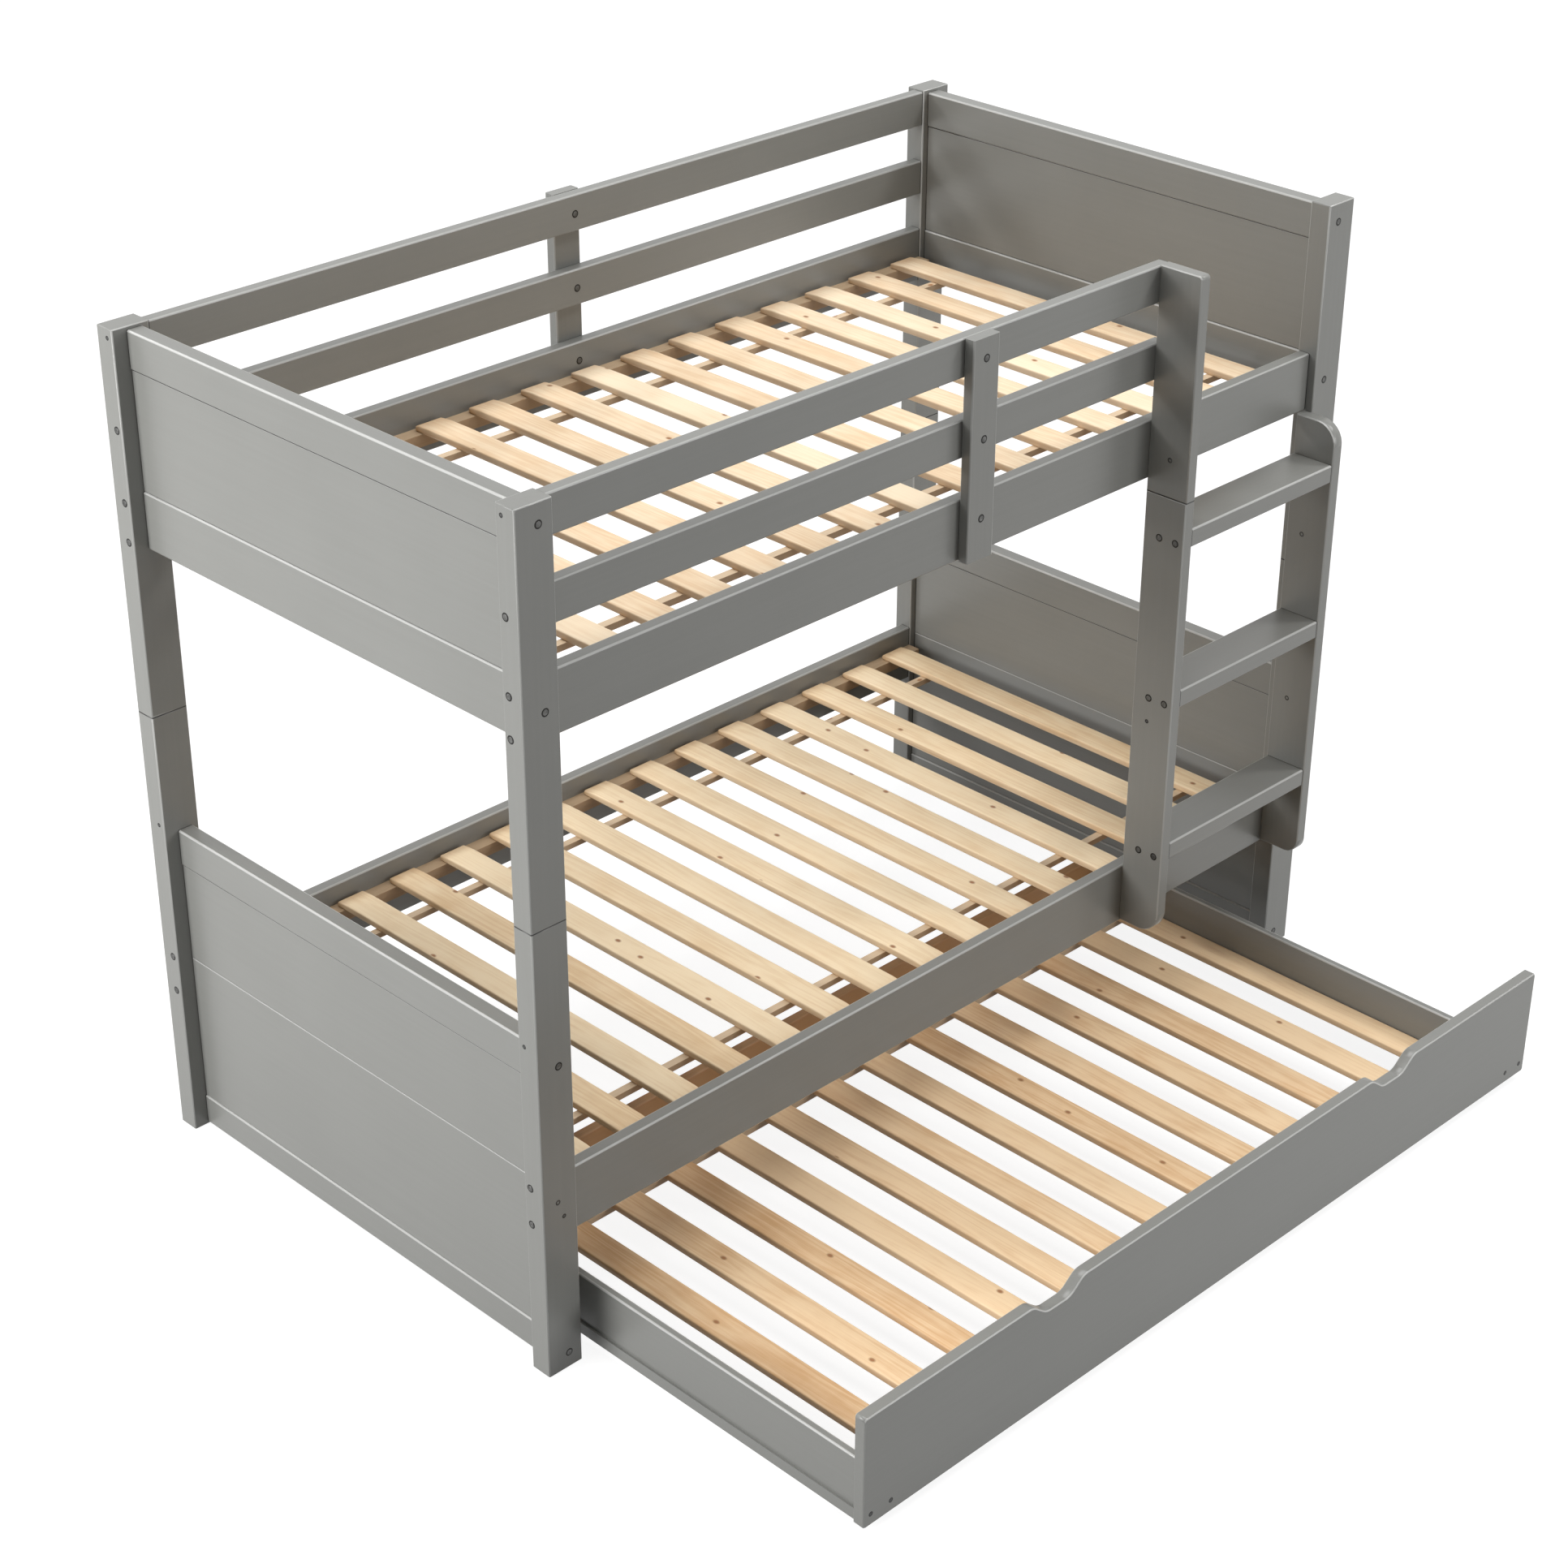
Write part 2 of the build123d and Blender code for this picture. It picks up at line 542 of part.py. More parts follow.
def caster_wheel(x, board_face, inward):
    """A solid moulded wheel with a bore for its axle."""
    half = WHEEL_WIDE / 2
    axle_y = board_face + inward * WHEEL_FROM_BOARD
    near_side = (x - half, axle_y, WHEEL_RADIUS)
    far_side = (x + half, axle_y, WHEEL_RADIUS)
    return rod(near_side, far_side, WHEEL_RADIUS) - rod(near_side, far_side, AXLE_RADIUS + AXLE_FIT)


def trundle_cleat(board_face, inward):
    """Ledge strips on one board, parted where the wheel brackets stand."""
    near_y, far_y = sorted((board_face, board_face + inward * TRUNDLE_CLEAT_WIDE))
    half_gap = BRACKET_PLATE_WIDE / 2 + BRACKET_CLEAT_GAP
    bottom = TRUNDLE_CLEAT_TOP - CLEAT_TALL
    spans = (
        (TRUNDLE_LEFT_INNER, WHEELS_LEFT_X - half_gap),
        (WHEELS_LEFT_X + half_gap, WHEELS_RIGHT_X - half_gap),
        (WHEELS_RIGHT_X + half_gap, TRUNDLE_RIGHT_INNER),
    )
    strips = []
    for left, right in spans:
        low = (left, near_y, bottom)
        high = (right, far_y, TRUNDLE_CLEAT_TOP)
        strips.append(block(low, high))
    return strips


def build_trundle_box():
    """The four boards of the trundle, standing pulled out."""
    pieces["trundle_front_board"] = trundle_front()
    pieces["trundle_left_side"] = trundle_side(TRUNDLE_LEFT_OUTER, -1)
    pieces["trundle_right_side"] = trundle_side(TRUNDLE_RIGHT_OUTER, 1)
    low = (TRUNDLE_LEFT_OUTER, TRUNDLE_REAR_INNER, TRUNDLE_FLOOR_GAP)
    high = (TRUNDLE_RIGHT_OUTER, TRUNDLE_REAR_FACE, TRUNDLE_SIDE_TOP)
    pieces["trundle_back_board"] = board(low, high)


def build_trundle_deck():
    """Slats of the trundle with their ledges and battens."""
    slat_front = TRUNDLE_FRONT_BACK + TRUNDLE_SLAT_END_GAP
    slat_back = TRUNDLE_REAR_INNER - TRUNDLE_SLAT_END_GAP
    pieces["trundle_slats"] = slat_row(
        TRUNDLE_SLAT_LEFT, TRUNDLE_PITCH, TRUNDLE_SLAT_COUNT, slat_front, slat_back, TRUNDLE_DECK_TOP
    )
    front_strips = trundle_cleat(TRUNDLE_FRONT_BACK, 1)
    back_strips = trundle_cleat(TRUNDLE_REAR_INNER, -1)
    pieces["trundle_slat_cleats"] = group(front_strips + back_strips)
    battens = []
    back_batten = TRUNDLE_REAR_INNER - TRUNDLE_BATTEN_IN - BATTEN_WIDE
    for near_y in (TRUNDLE_FRONT_BACK + TRUNDLE_BATTEN_IN, back_batten):
        low = (TRUNDLE_SLAT_LEFT - BATTEN_OVERRUN, near_y, TRUNDLE_CLEAT_TOP - BATTEN_TALL)
        high = (TRUNDLE_SLAT_RIGHT, near_y + BATTEN_WIDE, TRUNDLE_CLEAT_TOP)
        battens.append(block(low, high))
    pieces["trundle_slat_battens"] = group(battens)


def build_trundle_wheels():
    """Four fixed wheels in steel forks on the inner faces of the long boards."""
    brackets = []
    axles = []
    for board_face, inward, row in ((TRUNDLE_FRONT_BACK, 1, "front"), (TRUNDLE_REAR_INNER, -1, "back")):
        for x, name in ((WHEELS_LEFT_X, "left"), (WHEELS_RIGHT_X, "right")):
            brackets.append(caster_bracket(x, board_face, inward))
            axles.append(caster_axle(x, board_face, inward))
            pieces[f"wheel_{row}_{name}"] = caster_wheel(x, board_face, inward)
    pieces["wheel_brackets"] = group(brackets)
    pieces["wheel_axles"] = group(axles)


# Bolts and screws

bolts = []
screws = []


def fasten(kept_in, head, shank_radius, names, surface, direction, long):
    """Put a headed fastener in and bore its way through the pieces that it joins."""
    head_radius, head_thick, head_proud = head
    top = shifted(surface, direction, -head_proud)
    seat = shifted(top, direction, head_thick)
    end = shifted(surface, direction, long)
    shank = bar(seat, end, shank_radius, SHANK_SIDES)
    kept_in.append(bar(top, seat, head_radius, HEAD_SIDES) + shank)
    outside = shifted(surface, direction, -CUT_OVERRUN)
    drill(names[:1], outside, seat, head_radius + BOLT_FIT, HEAD_SIDES)
    drill(names, seat, shifted(end, direction, BOLT_FIT), shank_radius + BOLT_FIT, SHANK_SIDES)


def add_bolt(names, surface, direction, long):
    """A furniture bolt with a low round head."""
    head = (BOLT_HEAD_RADIUS, BOLT_HEAD_THICK, BOLT_HEAD_PROUD)
    fasten(bolts, head, BOLT_SHANK_RADIUS, names, surface, direction, long)


def add_screw(names, surface, direction, long):
    """A small wood screw."""
    head = (SCREW_HEAD_RADIUS, SCREW_HEAD_THICK, SCREW_HEAD_PROUD)
    fasten(screws, head, SCREW_SHANK_RADIUS, names, surface, direction, long)


def bolt_long_boards(side, face, left_right, front_back):
    """Bolts from an end of the bed into the ends of the long boards."""
    y = face * BOARD_MIDDLE
    inward = (-side, 0, 0)
    long = POST_ALONG + BOLT_INTO_BOARD
    upper = f"upper_post_{front_back}_{left_right}"
    lower = f"lower_post_{front_back}_{left_right}"
    upper_bolt = UPPER_RAIL_BOTTOM + UPPER_RAIL_BOLT_ABOVE_FOOT
    lower_bolt = LOWER_RAIL_BOTTOM + LOWER_RAIL_BOLT_ABOVE_FOOT
    for height in (upper_bolt, upper_bolt + RAIL_BOLT_SPREAD):
        add_bolt((upper, f"upper_{front_back}_rail"), (side * POST_OUTER, y, height), inward, long)
    for height in (lower_bolt, lower_bolt + RAIL_BOLT_SPREAD):
        add_bolt((lower, f"lower_{front_back}_rail"), (side * POST_OUTER, y, height), inward, long)
    if face > 0 or side < 0:
        place = (side * POST_OUTER, y, LOW_GUARD_TOP - GUARD_TALL / 2)
        add_bolt((upper, f"{front_back}_low_guard"), place, inward, long)


def bolt_end_frame(side, face, left_right, front_back):
    """Bolts from the front or the back into the ends of an end frame's rails."""
    upper = f"upper_post_{front_back}_{left_right}"
    lower = f"lower_post_{front_back}_{left_right}"
    joints = (
        (upper, "upper", "top", END_UPPER_TOP - END_TOP_BOLT_BELOW_TOP),
        (upper, "upper", "bottom", UPPER_RAIL_BOTTOM + END_UPPER_BOLT_ABOVE_FOOT),
        (lower, "lower", "top", END_LOWER_TOP - END_LOWER_BOLT_BELOW_TOP),
        (lower, "lower", "bottom", END_FLOOR_GAP + END_FOOT_BOLT_ABOVE_FOOT),
    )
    for post, level, part, height in joints:
        place = (side * END_MIDDLE, face * BED_BACK, height)
        names = (post, f"{level}_{left_right}_{part}_rail")
        add_bolt(names, place, (0, -face, 0), POST_DEEP + BOLT_INTO_BOARD)


def bolt_corners():
    """All bolts that pass through the posts into boards and rails."""
    for face, front_back in ((-1, "front"), (1, "back")):
        for side, left_right in ((-1, "left"), (1, "right")):
            bolt_long_boards(side, face, left_right, front_back)
            bolt_end_frame(side, face, left_right, front_back)


def bolt_supports():
    """Bolts that tie the two upright supports to the three boards beside them."""
    long = SUPPORT_THICK + BOARD_THICK - BOARD_SKIN
    for name, first_face in (("front", -SUPPORT_OUTER), ("back", BOARD_INNER)):
        boards = (
            (f"{name}_top_guard", GUARD_TOP),
            (f"{name}_low_guard", LOW_GUARD_TOP),
            (f"upper_{name}_rail", UPPER_RAIL_TOP),
        )
        for beside, top in boards:
            pair = [f"{name}_guard_support", beside]
            names = pair if name == "front" else pair[::-1]
            add_bolt(names, (0, first_face, top - SUPPORT_BOLT_BELOW_TOP), (0, 1, 0), long)


def bolt_ladder():
    """Bolts into the step ends, into the right stile and into the guard end post."""
    ends = (("ladder_left_stile", LEFT_STILE_X, 1), ("ladder_right_stile", POST_INNER, -1))
    for number in range(STEP_COUNT):
        height = STEP_TOP_HEIGHT - number * STEP_RISE - STEP_BOLT_BELOW_TOP
        for stile, x, way in ends:
            for across in (-1, 1):
                y = STILE_FRONT + STEP_BOLT_FROM_FRONT + across * STEP_BOLT_SPREAD / 2
                names = (stile, "ladder_steps")
                add_bolt(names, (x, y, height), (way, 0, 0), STILE_THICK + BOLT_INTO_BOARD)
    post_bolt_y = (STILE_BACK + BED_FRONT) / 2
    posts = ("upper_post_front_right", "lower_post_front_right")
    for post, above_joint in zip(posts, STILE_BOLTS_FROM_JOINT):
        place = (POST_OUTER, post_bolt_y, POST_JOINT_HEIGHT + above_joint)
        add_bolt((post, "ladder_right_stile"), place, (-1, 0, 0), POST_ALONG + BOLT_INTO_STILE)
    bolt_height = UPPER_RAIL_BOTTOM + GUARD_POST_BOLT_ABOVE_FOOT
    place = (LEFT_STILE_X + STILE_THICK / 2, CLEAT_WIDE - BOARD_INNER, bolt_height)
    names = ("upper_slat_cleats", "upper_front_rail", "guard_end_post")
    add_bolt(names, place, (0, -1, 0), CLEAT_WIDE + BOARD_THICK + BOLT_INTO_PLANK)


def screw_trundle():
    """Screws through the front board, at the left into the side board and the ledge behind it."""
    behind = ("trundle_left_side", "trundle_slat_cleats")
    for inset, name in zip(TRUNDLE_SCREW_INSETS, behind):
        x = TRUNDLE_FRONT_LONG / 2 - inset
        height = TRUNDLE_FLOOR_GAP + TRUNDLE_SCREW_ABOVE_FOOT
        left_place = (-x, TRUNDLE_FRONT_FACE, height)
        right_place = (x, TRUNDLE_FRONT_FACE, height)
        left_names = ("trundle_front_board", name)
        add_screw(left_names, left_place, (0, 1, 0), TRUNDLE_FRONT_THICK + SCREW_LONG)
        add_screw(left_names[:1], right_place, (0, 1, 0), SCREW_LONG)


def write_steps():
    """Move everything to the shared frame and write one file per piece."""
    os.makedirs("parts", exist_ok=True)
    for name, shape in pieces.items():
        export_step(Pos(0, FRAME_SHIFT, 0) * shape, f"parts/{name}.step")


build_posts()
build_ends()
build_long_boards()
build_ladder()
build_bed_decks()
build_trundle_box()
build_trundle_deck()
build_trundle_wheels()
bolt_corners()
bolt_supports()
bolt_ladder()
screw_trundle()
pieces["dowel_pins"] = group(pins)
pieces["bed_bolts"] = group(bolts)
pieces["trundle_screws"] = group(screws)
write_steps()
print(len(pieces), "pieces, shift", FRAME_SHIFT)
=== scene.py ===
"""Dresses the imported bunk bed: painted boards, pine slats, fasteners, trundle wheels and a plain studio."""

import logging
import math
from dataclasses import dataclass
from enum import Enum
from typing import Iterable, Sequence

import bmesh
import bpy
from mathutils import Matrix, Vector


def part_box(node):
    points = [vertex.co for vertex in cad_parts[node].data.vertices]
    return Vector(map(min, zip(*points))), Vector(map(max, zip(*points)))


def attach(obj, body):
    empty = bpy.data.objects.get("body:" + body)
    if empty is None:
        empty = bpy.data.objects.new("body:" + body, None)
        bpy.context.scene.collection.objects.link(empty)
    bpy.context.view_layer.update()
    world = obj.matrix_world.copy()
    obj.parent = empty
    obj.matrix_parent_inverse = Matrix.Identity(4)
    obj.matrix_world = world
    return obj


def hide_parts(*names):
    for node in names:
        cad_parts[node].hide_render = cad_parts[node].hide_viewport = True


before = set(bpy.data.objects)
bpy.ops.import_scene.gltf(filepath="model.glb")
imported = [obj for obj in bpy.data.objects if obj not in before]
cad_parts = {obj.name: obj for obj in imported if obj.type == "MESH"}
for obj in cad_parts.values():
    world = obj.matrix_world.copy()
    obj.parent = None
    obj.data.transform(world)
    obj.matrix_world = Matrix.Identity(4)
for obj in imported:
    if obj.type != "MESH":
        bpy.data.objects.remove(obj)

LOG = logging.getLogger("bunk_bed")
MILLIMETRE = 0.001
MERGE_DISTANCE = 1e-6
SORT_DIGITS = 4
FINE_SEAM = 1.35

Colour = tuple[float, float, float, float]
Point = tuple[float, float, float]
Span = tuple[float, float]

WHITE: Colour = (1.0, 1.0, 1.0, 1.0)
# Painted shade for a fastener's recess and for the ring between its head and its bore.
PAINTED_GAP_SHADE: Colour = (0.012, 0.011, 0.010, 1.0)


# Node trees

class Value:
    """An output socket that takes part in arithmetic and adds its own Math nodes."""

    def __init__(self, graph: "Graph", socket: bpy.types.NodeSocket) -> None:
        """Wrap one output socket of a graph."""
        self.graph = graph
        self.socket = socket

    def _math(self, operation: str, *terms: object) -> "Value":
        """Add the Math node of an operation on numbers and values."""
        return self.graph.node("ShaderNodeMath", {"operation": operation}, dict(enumerate(terms)))

    def __add__(self, other: object) -> "Value":
        """Sum."""
        return self._math("ADD", self, other)

    def __radd__(self, other: object) -> "Value":
        """Sum with the number first."""
        return self._math("ADD", other, self)

    def __sub__(self, other: object) -> "Value":
        """Difference."""
        return self._math("SUBTRACT", self, other)

    def __rsub__(self, other: object) -> "Value":
        """Difference with the number first."""
        return self._math("SUBTRACT", other, self)

    def __mul__(self, other: object) -> "Value":
        """Product."""
        return self._math("MULTIPLY", self, other)

    def __rmul__(self, other: object) -> "Value":
        """Product with the number first."""
        return self._math("MULTIPLY", other, self)

    def __truediv__(self, other: object) -> "Value":
        """Quotient."""
        return self._math("DIVIDE", self, other)

    def __rtruediv__(self, other: object) -> "Value":
        """Quotient with the number first."""
        return self._math("DIVIDE", other, self)

    def sine(self) -> "Value":
        """Sine of an angle in radians."""
        return self._math("SINE", self)

    def size(self) -> "Value":
        """The number without its sign."""
        return self._math("ABSOLUTE", self)

    def sign(self) -> "Value":
        """1 above zero, -1 below."""
        return self._math("SIGN", self)

    def most(self, other: object) -> "Value":
        """The larger of the two."""
        return self._math("MAXIMUM", self, other)

    def step(self, low: float, high: float) -> "Value":
        """A smooth step from 0 at the low value to 1 at the high one."""
        sockets = {"Value": self, "From Min": low, "From Max": high}
        return self.graph.node("ShaderNodeMapRange", {"interpolation_type": "SMOOTHSTEP"}, sockets)


class Graph:
    """A node tree under construction."""

    def __init__(self, tree: bpy.types.NodeTree) -> None:
        """Start from a tree that may hold nodes already."""
        self.tree = tree

    def node(
        self,
        kind: str,
        settings: dict[str, object] | None = None,
        sockets: dict[object, object] | None = None,
        output: object = 0,
    ) -> Value:
        """Add a node, set it up and link it.

        Args:
            kind: the node's type.
            settings: properties of the node, set before its sockets.
            sockets: input name, identifier or index to a number, a colour, a vector or a value.
            output: name or index of the output to return.

        Returns:
            The chosen output.
        """
        node = self.tree.nodes.new(kind)
        for name, setting in (settings or {}).items():
            setattr(node, name, setting)
        for key, value in (sockets or {}).items():
            self.feed(self._input(node, key), value)
        return Value(self, node.outputs[output] if node.outputs else None)

    def feed(self, socket: bpy.types.NodeSocket, value: object) -> None:
        """Link a value to an input, or set the input to a constant.

        Args:
            socket: the input.
            value: a number, a colour, a vector, another node's output or a value.
        """
        source = value.socket if isinstance(value, Value) else value
        if isinstance(source, bpy.types.NodeSocket):
            self.tree.links.new(source, socket)
        else:
            socket.default_value = source

    @staticmethod
    def _input(node: bpy.types.Node, key: object) -> bpy.types.NodeSocket:
        """Find an input by its identifier, its index or its name."""
        named = [socket for socket in node.inputs if socket.identifier == key]
        return named[0] if named else node.inputs[key]

    def mix(self, factor: object, first: object, second: object) -> Value:
        """Blend two colours, the first where the factor is 0 and the second where it is 1."""
        sockets = {"Factor_Float": factor, "A_Color": first, "B_Color": second}
        return self.node("ShaderNodeMix", {"data_type": "RGBA"}, sockets, output=2)

    def join(self, x: object = 0.0, y: object = 0.0, z: object = 0.0) -> Value:
        """Make a vector of three numbers."""
        return self.node("ShaderNodeCombineXYZ", {}, {0: x, 1: y, 2: z})

    def split(self, vector: Value) -> list[Value]:
        """The three numbers of a vector."""
        parts = self.node("ShaderNodeSeparateXYZ", {}, {0: vector})
        return [Value(self, output) for output in parts.socket.node.outputs]


class Axis(Enum):
    """One of the frame's axes, such as the way a board's grain runs."""

    X = 0
    Y = 1
    Z = 2

    def scales(self, along: float, across: float) -> Point:
        """Scale factors for a pattern that is drawn out along this axis."""
        return tuple(along if k == self.value else across for k in range(3))

    def way(self, sign: float) -> Vector:
        """A unit vector along this axis, one way or the other."""
        return Vector(self.scales(sign, 0.0))


# Finishes

class Finish(Graph):
    """A material with one principled shader, under construction."""

    def __init__(self, name: str) -> None:
        """Start the material.

        Args:
            name: the material's name.
        """
        self.material = bpy.data.materials.new(name)
        self.material.use_nodes = True
        super().__init__(self.material.node_tree)
        self.shader = self.tree.nodes["Principled BSDF"]

    def shade(self, name: str, value: object) -> None:
        """Set or link one of the shader's sockets."""
        self.feed(self.shader.inputs[name], value)

    def place(self) -> Value:
        """Object coordinates."""
        return self.node("ShaderNodeTexCoord", output="Object")

    def attribute(self, name: str, output: str = "Fac") -> Value:
        """What a mesh stores under a name, or 0 where it stores nothing."""
        return self.node("ShaderNodeAttribute", {"attribute_name": name}, output=output)

    def stretched(self, place: Value, scale: Point) -> Value:
        """Coordinates scaled along each axis."""
        return self.node("ShaderNodeMapping", {}, {"Vector": place, "Scale": scale})

    def noise(self, place: Value, scale: float, detail: float = 2.0, roughness: float = 0.5) -> Value:
        """A noise from 0 to 1, with about that many features per metre and that many octaves."""
        sockets = {"Vector": place, "Scale": scale, "Detail": detail, "Roughness": roughness}
        return self.node("ShaderNodeTexNoise", {}, sockets)

    def fibres(self, place: Value, scale: Point, detail: float, roughness: float = 0.5) -> Value:
        """A noise whose scale differs from axis to axis."""
        return self.noise(self.stretched(place, scale), 1.0, detail, roughness)

    def bump(self, height: Value, distance: float, strength: float) -> None:
        """Feed a height from 0 to 1, that many metres deep, into the shader's normal."""
        sockets = {"Height": height, "Distance": distance, "Strength": strength}
        self.shade("Normal", self.node("ShaderNodeBump", {}, sockets))

    def vary_roughness(self, share: Value, middle: float, spread: float) -> None:
        """Let the roughness vary about its middle by a share from 0 to 1 of its spread."""
        self.shade("Roughness", share * spread + (middle - spread / 2))


@dataclass(frozen=True)
class SatinPaint:
    """Grey satin paint on planed softwood, with the grain just showing through."""

    grain: Axis
    light: Colour = (0.220, 0.221, 0.208, 1.0)
    dark: Colour = (0.209, 0.210, 0.197, 1.0)
    roughness: float = 0.33
    roughness_spread: float = 0.06
    along_per_metre: float = 2.5
    across_per_metre: float = 130.0
    mottle_per_metre: float = 5.0
    peel_per_metre: float = 700.0
    octaves: float = 3.0
    fibre_tone_share: float = 0.45
    tone_reach: Span = (0.3, 0.7)
    fibre_relief_share: float = 0.7
    relief: float = 0.3 * MILLIMETRE
    relief_strength: float = 0.12
    # Painted highlight: a pale paint laid on the boards' round-overs, by the share each face stores under
    # edge, stands in for the light that these edges catch.
    edge: Colour = (0.74, 0.74, 0.72, 1.0)
    seam: Colour = (0.020, 0.019, 0.017, 1.0)
    seam_reach: Span = (0.9 * MILLIMETRE, 2.6 * MILLIMETRE)

    def build(self) -> bpy.types.Material:
        """Make the material.

        Returns:
            The paint for boards whose grain runs that way.
        """
        finish = Finish(f"satin_grey_paint_{self.grain.name.lower()}")
        place = finish.place()
        scale = self.grain.scales(self.along_per_metre, self.across_per_metre)
        fibres = finish.fibres(place, scale, self.octaves)
        mottle = finish.noise(place, self.mottle_per_metre, self.octaves)
        peel = finish.noise(place, self.peel_per_metre, detail=1.0)
        tone = fibres * self.fibre_tone_share + mottle * (1.0 - self.fibre_tone_share)
        paint = finish.mix(tone.step(*self.tone_reach), self.dark, self.light)
        # Painted highlight on the round-overs, brightest on upward ones.
        paint = finish.mix(finish.attribute("edge"), paint, self.edge)
        finish.shade("Base Color", finish.mix(self._seams(finish), paint, self.seam))
        finish.vary_roughness(mottle, self.roughness, self.roughness_spread)
        relief = fibres * self.fibre_relief_share + peel * (1.0 - self.fibre_relief_share)
        finish.bump(relief, self.relief, self.relief_strength)
        return finish.material

    def _seams(self, finish: Finish) -> Value:
        """Shadow lines where a board butts against its neighbour.

        Args:
            finish: the paint under construction.

        Returns:
            1 at the seam, 0 away from it.
        """
        near, far = self.seam_reach
        lows, highs = [finish.split(finish.attribute(name, "Vector")) for name in ("seam_low", "seam_high")]
        closeness, *others = lows + highs
        for value in others:
            closeness = closeness.most(value)
        return closeness.step(1.0 - far, 1.0 - near)


@dataclass(frozen=True)
class PlanedPine:
    """Bare pine: growth rings, fibres, knots, a tone that differs from slat to slat and painted shade on its
    upright faces.
    """

    name: str
    grain: Axis
    pale: Colour
    ring: Colour
    knot: Colour = (0.34, 0.155, 0.062, 1.0)
    # The end colour also serves as painted shade on upright faces.
    end: Colour = (0.50, 0.27, 0.115, 1.0)
    end_share: float = 0.5
    side_shade_share: float = 0.3
    side_shade_reach: Span = (0.4, 0.9)
    tone_shift: Point = (7.3, 3.1, 5.7)
    tone_spread: float = 0.35
    ring_scale: Span = (1.3, 24.0)
    ring_turns: float = 62.0
    fibre_scale: Span = (12.0, 420.0)
    fibre_roughness: float = 0.6
    patches_per_metre: float = 14.0
    octaves: float = 3.0
    ring_share: float = 0.16
    fibre_share: float = 0.38
    patch_share: float = 0.36
    figure_base: float = 0.07
    figure_reach: Span = (0.3, 0.95)
    roughness: float = 0.52
    roughness_spread: float = 0.16
    fibre_relief_share: float = 0.6
    relief: float = 0.3 * MILLIMETRE
    relief_strength: float = 0.4
    knots_per_metre: float = 10.0
    knot_stretch: float = 0.7
    knots_chosen: Span = (0.7, 0.71)
    knot_reach: Span = (0.02, 0.065)
    upward_reach: Span = (0.85, 0.97)

    def build(self) -> bpy.types.Material:
        """Make the material.

        Returns:
            The pine for slats or strips whose grain runs that way.
        """
        finish = Finish(self.name)
        tone = finish.attribute("slat_tone")
        shift = finish.join(*(tone * factor for factor in self.tone_shift))
        place = finish.node("ShaderNodeVectorMath", {"operation": "ADD"}, {0: finish.place(), 1: shift})
        wander = finish.fibres(place, self.grain.scales(*self.ring_scale), detail=2.0)
        rings = (wander * self.ring_turns).sine() * 0.5 + 0.5
        fibres = finish.fibres(place, self.grain.scales(*self.fibre_scale), self.octaves, self.fibre_roughness)
        patches = finish.noise(place, self.patches_per_metre, self.octaves)
        figure = rings * self.ring_share + fibres * self.fibre_share + patches * self.patch_share
        figure = figure + (tone - 0.5) * self.tone_spread + self.figure_base
        wood = finish.mix(figure.step(*self.figure_reach), self.pale, self.ring)
        upward = finish.split(finish.node("ShaderNodeTexCoord", output="Normal"))[Axis.Z.value]
        wood = finish.mix(self._knots(finish, place) * upward.step(*self.upward_reach), wood, self.knot)
        # Painted shade: upright faces such as the slats' sides darken towards the end colour; near their ends
        # the slats also darken towards it.
        side = 1.0 - upward.size().step(*self.side_shade_reach)
        side_shade_and_dark_ends = (finish.attribute("slat_end") * self.end_share).most(side * self.side_shade_share)
        finish.shade("Base Color", finish.mix(side_shade_and_dark_ends, wood, self.end))
        finish.vary_roughness(fibres, self.roughness, self.roughness_spread)
        relief = fibres * self.fibre_relief_share + rings * (1.0 - self.fibre_relief_share)
        finish.bump(relief, self.relief, self.relief_strength)
        return finish.material

    def _knots(self, finish: Finish, place: Value) -> Value:
        """Sparse knots as seen from above.

        Args:
            finish: the material under construction.
            place: coordinates.

        Returns:
            1 inside a knot, 0 outside.
        """
        flat = {"voronoi_dimensions": "2D"}
        along = finish.stretched(place, self.grain.scales(self.knot_stretch, 1.0))
        sockets = {"Vector": along, "Scale": self.knots_per_metre}
        near = finish.node("ShaderNodeTexVoronoi", flat, sockets, output="Distance")
        cell = finish.node("ShaderNodeTexVoronoi", flat, sockets, output="Color")
        chosen = finish.node("ShaderNodeSeparateColor", {}, {0: cell}).step(*self.knots_chosen)
        return (1.0 - near.step(*self.knot_reach)) * chosen


@dataclass(frozen=True)
class HardFinish:
    """Steel or moulded plastic with an uneven sheen and fine specks."""

    name: str
    colour: Colour
    worn: Colour
    roughness: float
    metallic: float
    roughness_spread: float = 0.2
    clouds_per_metre: float = 160.0
    cloud_octaves: float = 3.0
    cloud_roughness: float = 0.5
    cloud_reach: Span = (0.35, 0.7)
    specks_per_metre: float = 1400.0
    speck_octaves: float = 2.0
    speck_depth: float = 0.05 * MILLIMETRE
    speck_strength: float = 0.3

    def build(self) -> bpy.types.Material:
        """Make the material.

        Returns:
            The finish, with painted shade where a fastener's mesh stores a gap.
        """
        finish = Finish(self.name)
        place = finish.place()
        cloud = finish.noise(place, self.clouds_per_metre, self.cloud_octaves, self.cloud_roughness)
        sheen = finish.mix(cloud.step(*self.cloud_reach), self.colour, self.worn)
        # Painted shade where a fastener's mesh stores gap: its recess and the ring round its head.
        finish.shade("Base Color", finish.mix(finish.attribute("gap"), sheen, PAINTED_GAP_SHADE))
        finish.shade("Metallic", self.metallic)
        finish.vary_roughness(cloud, self.roughness, self.roughness_spread)
        specks = finish.noise(place, self.specks_per_metre, self.speck_octaves)
        finish.bump(specks, self.speck_depth, self.speck_strength)
        return finish.material


